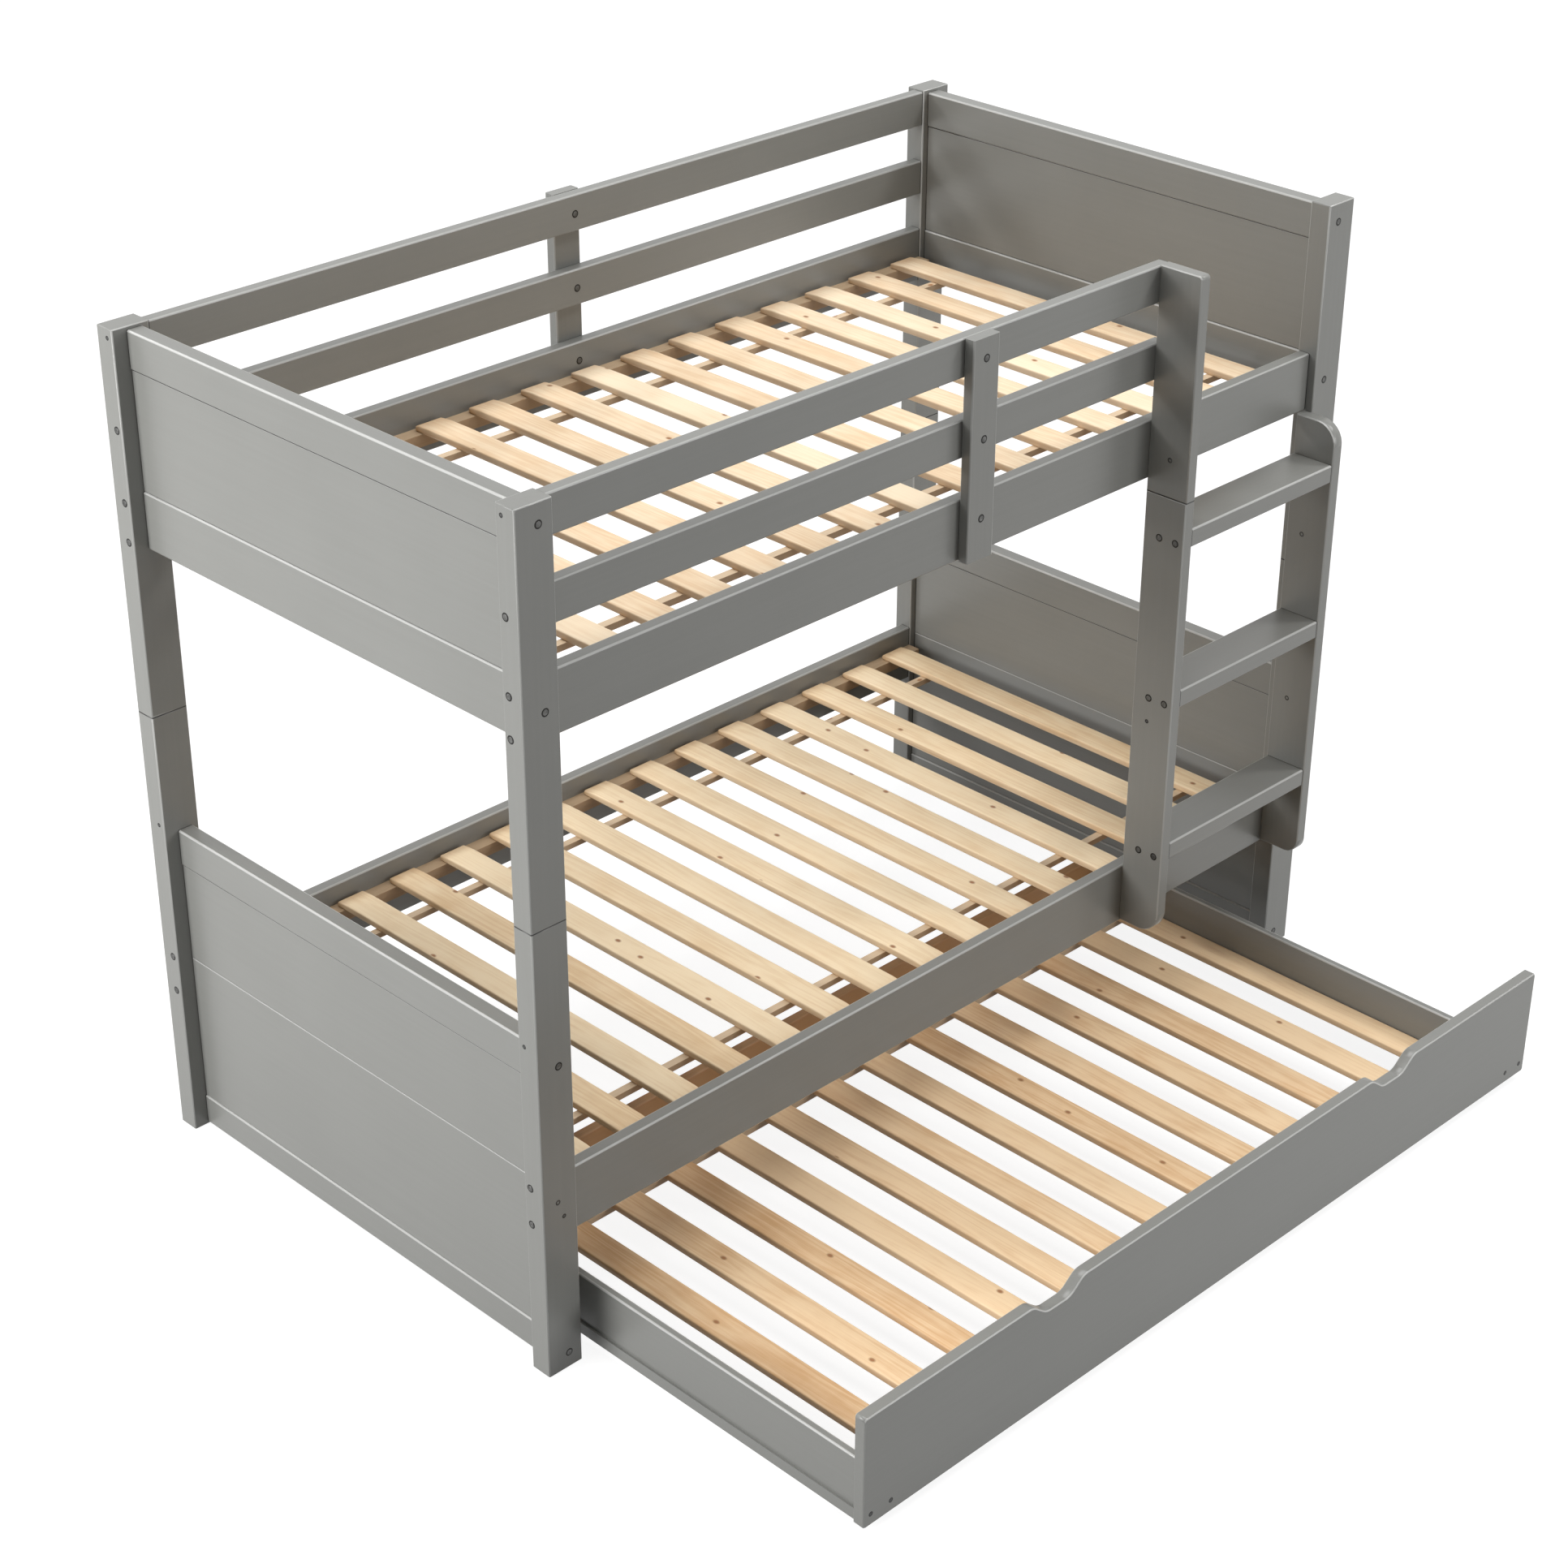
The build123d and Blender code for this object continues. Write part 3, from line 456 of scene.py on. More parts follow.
class Finishes:
    """Every finish of the bed, made once."""

    def __init__(self) -> None:
        """Build all the materials."""
        self.paint = {axis: SatinPaint(axis).build() for axis in Axis}
        pines = (
            ("upper_slat_pine", Axis.Y, (0.91, 0.75, 0.545, 1.0), (0.74, 0.51, 0.30, 1.0)),
            ("lower_slat_pine", Axis.Y, (0.94, 0.77, 0.53, 1.0), (0.74, 0.51, 0.28, 1.0)),
            # Painted shade: the trundle's slats take a darker, warmer copy of the slat pine for the shade
            # under the bed.
            ("trundle_slat_pine", Axis.Y, (0.87, 0.65, 0.41, 1.0), (0.65, 0.38, 0.18, 1.0)),
            ("ledge_pine", Axis.X, (0.47, 0.34, 0.215, 1.0), (0.29, 0.19, 0.11, 1.0)),
            ("batten_pine", Axis.X, (0.66, 0.51, 0.35, 1.0), (0.46, 0.33, 0.205, 1.0)),
            # Painted shade: a dark copy of the ledge pine for the trundle's back board, which stands in deep
            # shade under the bed.
            ("shade_darkened_pine", Axis.X, (0.33, 0.185, 0.085, 1.0), (0.19, 0.095, 0.04, 1.0)),
        )
        self.pine = {pine[0]: PlanedPine(*pine).build() for pine in pines}
        steels = (
            ("bolt_steel", (0.075, 0.075, 0.072, 1.0), (0.13, 0.13, 0.125, 1.0), 0.38, 0.7),
            ("screw_steel", (0.04, 0.04, 0.04, 1.0), (0.07, 0.07, 0.07, 1.0), 0.5, 0.5),
            ("zinc_steel", (0.55, 0.55, 0.56, 1.0), (0.42, 0.42, 0.43, 1.0), 0.36, 1.0),
        )
        self.steel = {steel[0]: HardFinish(*steel).build() for steel in steels}
        self.wheel = HardFinish(
            "wheel_plastic", (0.035, 0.035, 0.038, 1.0), (0.075, 0.073, 0.07, 1.0), 0.5, 0.0,
            clouds_per_metre=90.0, cloud_octaves=4.0, cloud_roughness=0.7, cloud_reach=(0.5, 0.8),
            specks_per_metre=2600.0, speck_octaves=1.0, speck_depth=0.04 * MILLIMETRE, speck_strength=0.4,
        ).build()


# Meshes

def solids_of(node: str) -> list[list[Vector]]:
    """The corners of each separate solid of a CAD node.

    Args:
        node: the node's name.

    Returns:
        One list of points for each solid, in order along X, then Y, then Z.
    """
    mesh = bmesh.new()
    mesh.from_mesh(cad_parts[node].data)
    bmesh.ops.remove_doubles(mesh, verts=mesh.verts, dist=MERGE_DISTANCE)
    unseen = set(mesh.verts)
    solids = []
    while unseen:
        queue = [unseen.pop()]
        points = []
        while queue:
            corner = queue.pop()
            points.append(corner.co.copy())
            for edge in corner.link_edges:
                other = edge.other_vert(corner)
                if other in unseen:
                    unseen.discard(other)
                    queue.append(other)
        solids.append(points)
    mesh.free()
    return sorted(solids, key=lambda points: tuple(round(c, SORT_DIGITS) for c in limits(points)[0]))


def limits(points: Iterable[Vector]) -> tuple[Vector, Vector]:
    """The lowest and the highest corner of the box round some points."""
    columns = list(zip(*points))
    return Vector([min(c) for c in columns]), Vector([max(c) for c in columns])


def face_of(node: str, axis: Axis, sign: float) -> float:
    """Where the side of a node's box lies that looks along an axis, one way or the other."""
    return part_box(node)[1 if sign > 0 else 0][axis.value]


def middle_of(node: str, axis: Axis) -> float:
    """The middle of a node's box along an axis."""
    return (face_of(node, axis, -1.0) + face_of(node, axis, 1.0)) / 2


def new_object(name: str, mesh: bpy.types.Mesh) -> bpy.types.Object:
    """Put a mesh in the scene.

    Args:
        name: the object's name.
        mesh: its mesh.

    Returns:
        The object, at the origin.
    """
    piece = bpy.data.objects.new(name, mesh)
    bpy.context.scene.collection.objects.link(piece)
    return piece


def bake(piece: bpy.types.Object) -> None:
    """Turn a piece's modifiers into plain mesh.

    Args:
        piece: an object with modifiers, which has its final mesh and none of them afterwards.
    """
    graph = bpy.context.evaluated_depsgraph_get()
    graph.update()
    mesh = bpy.data.meshes.new_from_object(piece.evaluated_get(graph), depsgraph=graph)
    piece.modifiers.clear()
    old = piece.data
    piece.data = mesh
    bpy.data.meshes.remove(old)


def skin(mesh: bmesh.types.BMesh, loops: Sequence[Sequence[bmesh.types.BMVert]], closed: bool) -> None:
    """Join loops of corners into a skin.

    Args:
        mesh: the mesh under construction.
        loops: the corners, as many in each loop.
        closed: whether the last loop joins the first, or both ends get a cap.
    """
    following = [*loops[1:], loops[0]] if closed else loops[1:]
    for near, far in zip(loops, following):
        for k in range(len(near)):
            after = (k + 1) % len(near)
            mesh.faces.new((near[k], near[after], far[after], far[k]))
    if not closed:
        mesh.faces.new(loops[-1])
        mesh.faces.new(loops[0][::-1])


def dress(nodes: Iterable[str], material: bpy.types.Material) -> None:
    """Give CAD nodes a finish.

    Args:
        nodes: names of the nodes.
        material: their finish.
    """
    for name in nodes:
        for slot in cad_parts[name].material_slots:
            slot.material = material
        LOG.info("%s keeps its shape, finish %s", name, material.name)


class Layout(Graph):
    """A geometry tree that repeats a shape, with a named input for each of its sizes."""

    kinds: dict[type, str] = {
        int: "NodeSocketInt",
        float: "NodeSocketFloat",
        Vector: "NodeSocketVector",
        bpy.types.Object: "NodeSocketObject",
        bpy.types.Material: "NodeSocketMaterial",
    }

    def __init__(self, name: str, inputs: dict[str, object]) -> None:
        """Start the tree.

        Args:
            name: the tree's name.
            inputs: input name to value, in order after the geometry.
        """
        super().__init__(bpy.data.node_groups.new(name, "GeometryNodeTree"))
        self.inputs = inputs
        add = self.tree.interface.new_socket
        add(name="Geometry", in_out="INPUT", socket_type="NodeSocketGeometry")
        for label, value in inputs.items():
            add(name=label, in_out="INPUT", socket_type=self.kinds[type(value)])
        add(name="Geometry", in_out="OUTPUT", socket_type="NodeSocketGeometry")
        self.given = self.node("NodeGroupInput").socket.node.outputs

    def store(self, geometry: Value, name: str, value: Value, domain: str) -> Value:
        """Store a number on every point or instance.

        Args:
            geometry: what stores it.
            name: the number's name.
            value: the number.
            domain: POINT or INSTANCE.

        Returns:
            The geometry that stores the number.
        """
        settings = {"data_type": "FLOAT", "domain": domain}
        sockets = {"Geometry": geometry, "Name": name, "Value": value}
        return self.node("GeometryNodeStoreNamedAttribute", settings, sockets)

    def finish(self, piece: bpy.types.Object, whole: Value) -> None:
        """End the tree in plain geometry with its finish and put it on a piece.

        Args:
            piece: the piece that the tree works on.
            whole: what the tree has laid out.
        """
        plain = self.node("GeometryNodeRealizeInstances", {}, {"Geometry": whole})
        dressed = {"Geometry": plain, "Material": self.given["Finish"]}
        self.node("NodeGroupOutput", {}, {0: self.node("GeometryNodeSetMaterial", {}, dressed)})
        modifier = piece.modifiers.new("layout", "NODES")
        modifier.node_group = self.tree
        for item in self.tree.interface.items_tree:
            if item.in_out == "INPUT" and item.name in self.inputs:
                modifier[item.identifier] = self.inputs[item.name]


# Slat decks

@dataclass
class SlatRow:
    """A row of slats with rounded edges and ends that ease down, slightly uneven in tone."""

    node: str
    body: str
    seed: int
    cuts: int = 16
    end_reach: float = 50.0 * MILLIMETRE
    end_drop: float = 4.0 * MILLIMETRE
    edge_round: float = 3.0 * MILLIMETRE
    edge_segments: int = 3

    def build(self, finish: bpy.types.Material) -> None:
        """Make the slats and put them in place of the CAD ones.

        Args:
            finish: the slats' pine.
        """
        solids = [limits(points) for points in solids_of(self.node)]
        low, high = solids[0]
        pitch = solids[1][0].x - low.x
        inputs = {
            "Count": len(solids),
            "Pitch": pitch,
            "Width": high.x - low.x,
            "Length": high.y - low.y,
            "Thickness": high.z - low.z,
            "Cuts": self.cuts,
            "End Reach": self.end_reach,
            "End Drop": self.end_drop,
            "First": (low + high) / 2,
            "Seed": self.seed,
            "Finish": finish,
        }
        piece = new_object(f"{self.node}_rounded", bpy.data.meshes.new(self.node))
        layout = Layout(f"{self.node}_row", inputs)
        layout.finish(piece, self._row(layout))
        rounding = piece.modifiers.new("edges", "BEVEL")
        rounding.width = self.edge_round
        rounding.segments = self.edge_segments
        rounding.limit_method = "ANGLE"
        bake(piece)
        piece.data.shade_smooth()
        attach(piece, self.body)
        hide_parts(self.node)
        LOG.info("%s: %d slats, pitch %.1f mm", piece.name, len(solids), pitch / MILLIMETRE)

    def _row(self, layout: Layout) -> Value:
        """Set the slats side by side.

        Args:
            layout: the row's tree.

        Returns:
            The slats as instances, each with a random tone from 0 to 1 under slat_tone.
        """
        node, given = layout.node, layout.given
        step = layout.join(given["Pitch"])
        points = {"Count": given["Count"], "Start Location": given["First"], "Offset": step}
        line = node("GeometryNodeMeshLine", {"mode": "OFFSET"}, points)
        row = node("GeometryNodeInstanceOnPoints", {}, {"Points": line, "Instance": self._slat(layout)})
        tone = node("FunctionNodeRandomValue", {"data_type": "FLOAT"}, {"Seed": given["Seed"]}, output=1)
        return layout.store(row, "slat_tone", tone, "INSTANCE")

    @staticmethod
    def _slat(layout: Layout) -> Value:
        """One slat round the origin, cut finely towards its ends, where its top eases down.

        Args:
            layout: the row's tree.

        Returns:
            The slat, which stores 1 under slat_end at its ends and 0 along its middle.
        """
        node, given = layout.node, layout.given
        size = layout.join(given["Width"], given["Length"], given["Thickness"])
        block = node("GeometryNodeMeshCube", {}, {"Size": size, "Vertices Y": given["Cuts"]}, output="Mesh")
        x, y, z = layout.split(node("GeometryNodeInputPosition"))
        half = Value(layout, given["Length"]) / 2.0
        along = 1.0 - (y / half).size()
        inward = along * along * half
        share = (1.0 - inward / given["End Reach"]).most(0.0)
        ease = share * share
        lowered = z - ease * given["End Drop"] * z.sign().most(0.0)
        moved = layout.join(x, y.sign() * (half - inward), lowered)
        block = layout.store(block, "slat_end", ease, "POINT")
        return node("GeometryNodeSetPosition", {}, {"Geometry": block, "Position": moved})


# Boards

@dataclass(frozen=True)
class Butt:
    """A plane across one axis where a board meets its neighbour."""

    axis: Axis
    place: float
    at_high_end: bool
    fineness: float = 1.0


def ends(node: str, axis: Axis, fineness: float = 1.0) -> list[Butt]:
    """The planes of a board's low and high end, with a seam that many times finer than usual."""
    return [Butt(axis, face_of(node, axis, sign), sign > 0, fineness) for sign in (-1.0, 1.0)]


@dataclass
class EasedBoards:
    """CAD boards whose chamfered edges are rounded off and take a painted highlight."""

    body: str
    round_over: float = 1.1 * MILLIMETRE
    segments: int = 2
    shortest_edge: float = 8.0 * MILLIMETRE
    angles: Span = (math.radians(25), math.radians(75))
    flat_angle: float = math.radians(0.5)
    level: float = 0.999
    # Shares of painted highlight on the round-overs that face up and on those that stand upright.
    upward_painted_highlight: float = 0.4
    upright_painted_highlight: float = 0.18
    slant: float = 0.2

    def build(self, nodes: Iterable[str], finish: bpy.types.Material, butting: Axis | None = None) -> None:
        """Make boards in place of their CAD nodes, with both ends butting along an axis if one is given."""
        for node in nodes:
            self.build_one(node, finish, ends(node, butting) if butting else [])

    def build_one(self, node: str, finish: bpy.types.Material, butts: Sequence[Butt]) -> None:
        """Make one board in place of its CAD node.

        Args:
            node: the board's name.
            finish: its paint.
            butts: where it meets its neighbours.
        """
        piece = new_object(f"{node}_eased", self._mesh(node))
        piece.data.materials.clear()
        piece.data.materials.append(finish)
        rounding = piece.modifiers.new("edges", "BEVEL")
        rounding.limit_method = "WEIGHT"
        rounding.width = self.round_over
        rounding.segments = self.segments
        bake(piece)
        flat = [max(abs(c) for c in face.normal) > self.level for face in piece.data.polygons]
        piece.data.polygons.foreach_set("use_smooth", [not level for level in flat])
        self._store_painted_highlights(piece.data, flat)
        self._store_seams(piece.data, butts)
        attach(piece, self.body)
        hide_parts(node)
        LOG.info("%s: %d faces", piece.name, len(piece.data.polygons))

    def _store_painted_highlights(self, mesh: bpy.types.Mesh, flat: Sequence[bool]) -> None:
        """Store how much painted highlight each face of the round-overs takes: most where it faces up, less
        where it stands upright, none where it faces down.

        Args:
            mesh: the board.
            flat: whether each face is one of the board's flat sides.
        """
        low, high = limits([corner.co for corner in mesh.vertices])
        thin = min(range(3), key=lambda k: high[k] - low[k])
        shares = []
        for face, level in zip(mesh.polygons, flat):
            lying = self.upward_painted_highlight if face.normal.z > self.slant else 0.0
            standing = self.upright_painted_highlight if abs(face.normal.z) < self.slant else 0.0
            rounded = not level and abs(face.normal[thin]) > self.slant
            shares.append(lying + standing if rounded else 0.0)
        stored = mesh.attributes.new("edge", "FLOAT", "FACE")
        stored.data.foreach_set("value", shares)

    @staticmethod
    def _store_seams(mesh: bpy.types.Mesh, butts: Sequence[Butt]) -> None:
        """Store each corner's closeness to the planes where neighbours begin, 1 at the plane.

        Args:
            mesh: the board.
            butts: the planes.
        """
        for name, at_high_end in (("seam_low", False), ("seam_high", True)):
            stored = mesh.attributes.new(name, "FLOAT_VECTOR", "POINT")
            values = [0.0] * (3 * len(mesh.vertices))
            for butt in [butt for butt in butts if butt.at_high_end == at_high_end]:
                k = butt.axis.value
                slope = butt.fineness if at_high_end else -butt.fineness
                values[k::3] = [1.0 - slope * (butt.place - corner.co[k]) for corner in mesh.vertices]
            stored.data.foreach_set("vector", values)

    def _mesh(self, node: str) -> bpy.types.Mesh:
        """Copy a node's mesh, join its faces up and mark the edges to round.

        Args:
            node: the CAD node.

        Returns:
            The marked mesh.
        """
        mesh = bmesh.new()
        mesh.from_mesh(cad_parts[node].data)
        bmesh.ops.remove_doubles(mesh, verts=mesh.verts, dist=MERGE_DISTANCE)
        bmesh.ops.dissolve_limit(mesh, angle_limit=self.flat_angle, verts=mesh.verts, edges=mesh.edges)
        weight = mesh.edges.layers.float.new("bevel_weight_edge")
        low, high = self.angles
        for edge in mesh.edges:
            if edge.is_manifold and edge.calc_length() > self.shortest_edge:
                edge[weight] = float(low < edge.calc_face_angle_signed() < high)
        for face in mesh.faces:
            face.material_index = 0
        data = bpy.data.meshes.new(f"{node}_eased")
        mesh.to_mesh(data)
        mesh.free()
        return data


# Fasteners

class Drive(Enum):
    """The recess in a fastener's face."""

    HEXAGON = "hexagon"
    CROSS = "cross"


@dataclass(frozen=True)
class Spot:
    """Where a fastener's face lies, which way it looks and how long the fastener is."""

    place: Vector
    outward: Vector
    length: float


def cad_spots(node: str) -> tuple[list[Spot], float]:
    """Read where each CAD fastener sits.

    Args:
        node: a node of separate headed fasteners with flat sides.

    Returns:
        One spot for each, and the radius of the widest head.
    """
    spots = []
    widest = 0.0
    for points in solids_of(node):
        low, high = limits(points)
        size = high - low
        axis = max(Axis, key=lambda axis: size[axis.value])
        k = axis.value
        middle = (low + high) / 2
        across = [other for other in range(3) if other != k]
        head = max(points, key=lambda p: math.hypot(*(p[j] - middle[j] for j in across)))
        sign = 1.0 if head[k] > middle[k] else -1.0
        middle[k] += sign * size[k] / 2
        spots.append(Spot(middle, axis.way(sign), size[k]))
        widest = max(widest, *(size[j] / 2 for j in across))
    return spots, widest


@dataclass
class FastenerSet:
    """Turned heads with a driver's recess, painted shade in the recess and round the head, and plain shanks,
    laid out on spots.
    """

    name: str
    body: str
    drive: Drive
    radius: float
    shank_radius: float
    replaced: str = ""
    # The gap fields size the thin ring of painted shade round the head.
    gap_radius: float = 4.2 * MILLIMETRE
    proud: float = 0.0
    seed: int = 5
    segments: int = 24
    shank_sides: int = 12
    head_thick: float = 2.4 * MILLIMETRE
    head_lift: float = 0.25 * MILLIMETRE
    rim_ease: float = 0.35 * MILLIMETRE
    recess_deep: float = 1.5 * MILLIMETRE
    recess_share: float = 0.5
    recess_taper: float = 0.96
    mouth_shade: float = 0.3
    narrow_share: float = 0.36
    arm_half_angle: float = math.pi / 12
    gap_lift: float = 0.06 * MILLIMETRE
    gap_overlap: float = 0.98

    def build(self, spots: Sequence[Spot], finish: bpy.types.Material) -> None:
        """Make the fasteners.

        Args:
            spots: where they sit.
            finish: their metal.
        """
        mesh = bpy.data.meshes.new(f"{self.name}_points")
        mesh.from_pydata([spot.place for spot in spots], [], [])
        axes = mesh.attributes.new("axis", "FLOAT_VECTOR", "POINT")
        axes.data.foreach_set("vector", [c for spot in spots for c in spot.outward])
        lengths = mesh.attributes.new("length", "FLOAT", "POINT")
        lengths.data.foreach_set("value", [spot.length for spot in spots])
        head = self._head()
        inputs = {
            "Head": head,
            "Shank Radius": self.shank_radius,
            "Head Thickness": self.head_thick,
            "Seed": self.seed,
            "Finish": finish,
        }
        piece = new_object(self.name, mesh)
        layout = Layout(f"{self.name}_layout", inputs)
        layout.finish(piece, self._fasteners(layout))
        bake(piece)
        bpy.data.objects.remove(head)
        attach(piece, self.body)
        if self.replaced:
            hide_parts(self.replaced)
        LOG.info("%s: %d fasteners", piece.name, len(spots))

    def _recess_radius(self, angle: float) -> float:
        """Distance from the middle to the recess's wall at an angle.

        Args:
            angle: in radians.

        Returns:
            The distance in metres.
        """
        wide = self.radius * self.recess_share
        if self.drive is Drive.HEXAGON:
            sixth = math.pi / 3
            return wide * math.cos(sixth / 2) / math.cos((angle % sixth) - sixth / 2)
        quarter = math.pi / 2
        off = abs((angle + quarter / 2) % quarter - quarter / 2)
        return wide if off < self.arm_half_angle else wide * self.narrow_share

    def _head(self) -> bpy.types.Object:
        """Turn one head, its face near the origin and its axis along Z.

        Returns:
            A helper object that holds the head and, under gap, how much painted shade each corner takes.
        """
        mesh = bmesh.new()
        mesh.verts.layers.float.new("gap")
        edge = [self.radius] * self.segments
        wall = [self._recess_radius(math.tau * k / self.segments) for k in range(self.segments)]
        lip = self.rim_ease
        top = 0.0 if self.replaced else self.head_lift
        # Painted shade deepens down the recess, from part at its mouth to full at its bottom.
        head = (
            (edge, top - self.head_thick, 0.0),
            (edge, top - min(lip, self.head_lift), 0.0),
            ([r - lip for r in edge], top, 0.0),
            ([r + lip / 2 for r in wall], top, 0.0),
            (wall, top - lip / 2, self.mouth_shade),
            ([r * self.recess_taper for r in wall], top - self.recess_deep, 1.0),
        )
        skin(mesh, [self._ring(mesh, *ring) for ring in head], closed=False)
        # Painted shade: a thin dark ring lies in the gap between the head and its bore.
        outer = [self.gap_radius] * self.segments
        inner = [self.radius * self.gap_overlap] * self.segments
        low, high = -self.proud - self.gap_lift, -self.proud + self.gap_lift
        gap = ((outer, low), (outer, high), (inner, high), (inner, low))
        skin(mesh, [self._ring(mesh, *ring, 1.0) for ring in gap], closed=True)
        data = bpy.data.meshes.new(f"{self.name}_head")
        mesh.to_mesh(data)
        mesh.free()
        return new_object(f"{self.name}_head", data)

    @staticmethod
    def _ring(
        mesh: bmesh.types.BMesh, radii: Sequence[float], height: float, dark: float
    ) -> list[bmesh.types.BMVert]:
        """Add a ring of corners round the axis.

        Args:
            mesh: the head under construction.
            radii: one for each corner.
            height: of the ring.
            dark: how much painted shade its corners take, from 0 to 1.

        Returns:
            The corners.
        """
        ring = []
        for k, radius in enumerate(radii):
            angle = math.tau * k / len(radii)
            corner = mesh.verts.new((radius * math.cos(angle), radius * math.sin(angle), height))
            corner[mesh.verts.layers.float["gap"]] = dark
            ring.append(corner)
        return ring

    def _fasteners(self, layout: Layout) -> Value:
        """Set a head, turned at random, and a shank on each point.

        Args:
            layout: the set's tree.

        Returns:
            Heads and shanks as instances.
        """
        node, given = layout.node, layout.given
        axis = node("GeometryNodeInputNamedAttribute", {"data_type": "FLOAT_VECTOR"}, {"Name": "axis"})
        length = node("GeometryNodeInputNamedAttribute", {"data_type": "FLOAT"}, {"Name": "length"})
        turn = node("FunctionNodeAlignRotationToVector", {"axis": "Z"}, {"Vector": axis})
        on_points = {"Points": given["Geometry"], "Rotation": turn}
        head = node("GeometryNodeObjectInfo", {}, {"Object": given["Head"]}, output="Geometry")
        heads = node("GeometryNodeInstanceOnPoints", {}, {**on_points, "Instance": head})
        angles = {"Min_001": 0.0, "Max_001": math.tau, "Seed": given["Seed"]}
        angle = node("FunctionNodeRandomValue", {"data_type": "FLOAT"}, angles, output=1)
        spin = layout.join(z=angle)
        heads = node("GeometryNodeRotateInstances", {}, {"Instances": heads, "Rotation": spin})
        sizes = {"Vertices": self.shank_sides, "Radius": given["Shank Radius"], "Depth": 1.0}
        rod = node("GeometryNodeMeshCylinder", {"fill_type": "NGON"}, sizes, output="Mesh")
        rod = node("GeometryNodeTransform", {}, {"Geometry": rod, "Translation": (0.0, 0.0, -0.5)})
        stretch = layout.join(1.0, 1.0, length - given["Head Thickness"])
        rods = node("GeometryNodeInstanceOnPoints", {}, {**on_points, "Instance": rod, "Scale": stretch})
        sink = layout.join(z=Value(layout, given["Head Thickness"]) * -1.0)
        rods = node("GeometryNodeTranslateInstances", {}, {"Instances": rods, "Translation": sink})
        both = node("GeometryNodeJoinGeometry", {}, {"Geometry": heads})
        layout.feed(both.socket.node.inputs[0], rods)
        return both


# Trundle wheels

@dataclass
class TrundleWheel:
    """A small moulded wheel with a rounded tread, a web with ribs and a hub."""

    node: str
    segments: int = 48
    ribs: int = 6
    tread_round: float = 3.0 * MILLIMETRE
    tread_steps: int = 5
    rim_wall: float = 4.0 * MILLIMETRE
    rim_ease: float = 0.8 * MILLIMETRE
    hub_wall: float = 4.5 * MILLIMETRE
    hub_ease: float = 0.6 * MILLIMETRE
    web_thick: float = 4.0 * MILLIMETRE
    bore: float = 4.05 * MILLIMETRE
    rib_thick: float = 2.6 * MILLIMETRE
    rib_inset: float = 2.5 * MILLIMETRE
    rib_into_walls: float = 0.5 * MILLIMETRE
    rib_into_web: float = 0.4 * MILLIMETRE
    sharp_angle: float = math.radians(35)

    def build(self, finish: bpy.types.Material) -> None:
        """Make the wheel in place of the CAD one.

        Args:
            finish: the wheel's plastic.
        """
        low, high = [Vector(corner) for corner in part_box(self.node)]
        middle = (low + high) / 2
        half = (high.x - low.x) / 2
        radius = (high.z - low.z) / 2
        mesh = bmesh.new()
        spokes = [self._spoke(k, self.segments)[0] for k in range(self.segments)]
        profile = self._profile(radius, half)
        loops = [[mesh.verts.new(middle + out * r + Axis.X.way(x)) for r, x in profile] for out in spokes]
        skin(mesh, loops, closed=True)
        self._add_ribs(mesh, middle, radius, half)
        bmesh.ops.recalc_face_normals(mesh, faces=mesh.faces)
        data = bpy.data.meshes.new(f"{self.node}_moulded")
        mesh.to_mesh(data)
        mesh.free()
        data.materials.append(finish)
        piece = new_object(f"{self.node}_moulded", data)
        piece.data.shade_smooth()
        piece.data.set_sharp_from_angle(angle=self.sharp_angle)
        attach(piece, f"{self.node}_body")
        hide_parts(self.node)
        LOG.info("%s: radius %.1f mm", piece.name, radius / MILLIMETRE)

    def _profile(self, radius: float, half: float) -> list[tuple[float, float]]:
        """The wheel's section as radius and offset along the axle.

        Args:
            radius: of the tread.
            half: half the wheel's width.

        Returns:
            The closed section's corners.
        """
        hub = self.bore + self.hub_wall
        rim = radius - self.rim_wall
        web = self.web_thick / 2
        side = [(self.bore, half), (hub - self.hub_ease, half), (hub, half - self.hub_ease), (hub, web)]
        side += [(rim, web), (rim, half - self.rim_ease), (rim + self.rim_ease, half)]
        for k in range(self.tread_steps + 1):
            angle = math.pi / 2 * (1 - k / self.tread_steps)
            r = radius - self.tread_round * (1 - math.cos(angle))
            side.append((r, half - self.tread_round * (1 - math.sin(angle))))
        return side + [(r, -x) for r, x in reversed(side)]

    @staticmethod
    def _spoke(k: int, count: int) -> tuple[Vector, Vector]:
        """The way that spoke k of a wheel looks, and the way round the wheel from there.

        Args:
            k: the spoke's number.
            count: how many spokes the wheel has.

        Returns:
            Two unit vectors.
        """
        angle = math.tau * k / count
        y, z = math.cos(angle), math.sin(angle)
        return Vector((0.0, y, z)), Vector((0.0, -z, y))

    def _add_ribs(self, mesh: bmesh.types.BMesh, middle: Vector, radius: float, half: float) -> None:
        """Add the ribs between hub and rim on both sides of the web.

        Args:
            mesh: the wheel's mesh.
            middle: its centre.
            radius: of the tread.
            half: half the wheel's width.
        """
        faces = ((0, 1, 3, 2), (4, 6, 7, 5), (0, 4, 5, 1), (2, 3, 7, 6), (0, 2, 6, 4), (1, 5, 7, 3))
        start = self.bore + self.hub_wall - self.rib_into_walls
        end = radius - self.rim_wall + self.rib_into_walls
        for side in (-1.0, 1.0):
            web = Axis.X.way(side * (self.web_thick / 2 - self.rib_into_web))
            top = Axis.X.way(side * (half - self.rib_inset))
            for k in range(self.ribs):
                out, wide = self._spoke(k, self.ribs)
                wide *= self.rib_thick / 2
                sections = [middle + out * r + wide * w for r in (start, end) for w in (-1.0, 1.0)]
                corners = [mesh.verts.new(section + x) for section in sections for x in (web, top)]
                for face in faces:
                    mesh.faces.new([corners[j] for j in face])


# Sub-assemblies of the bed

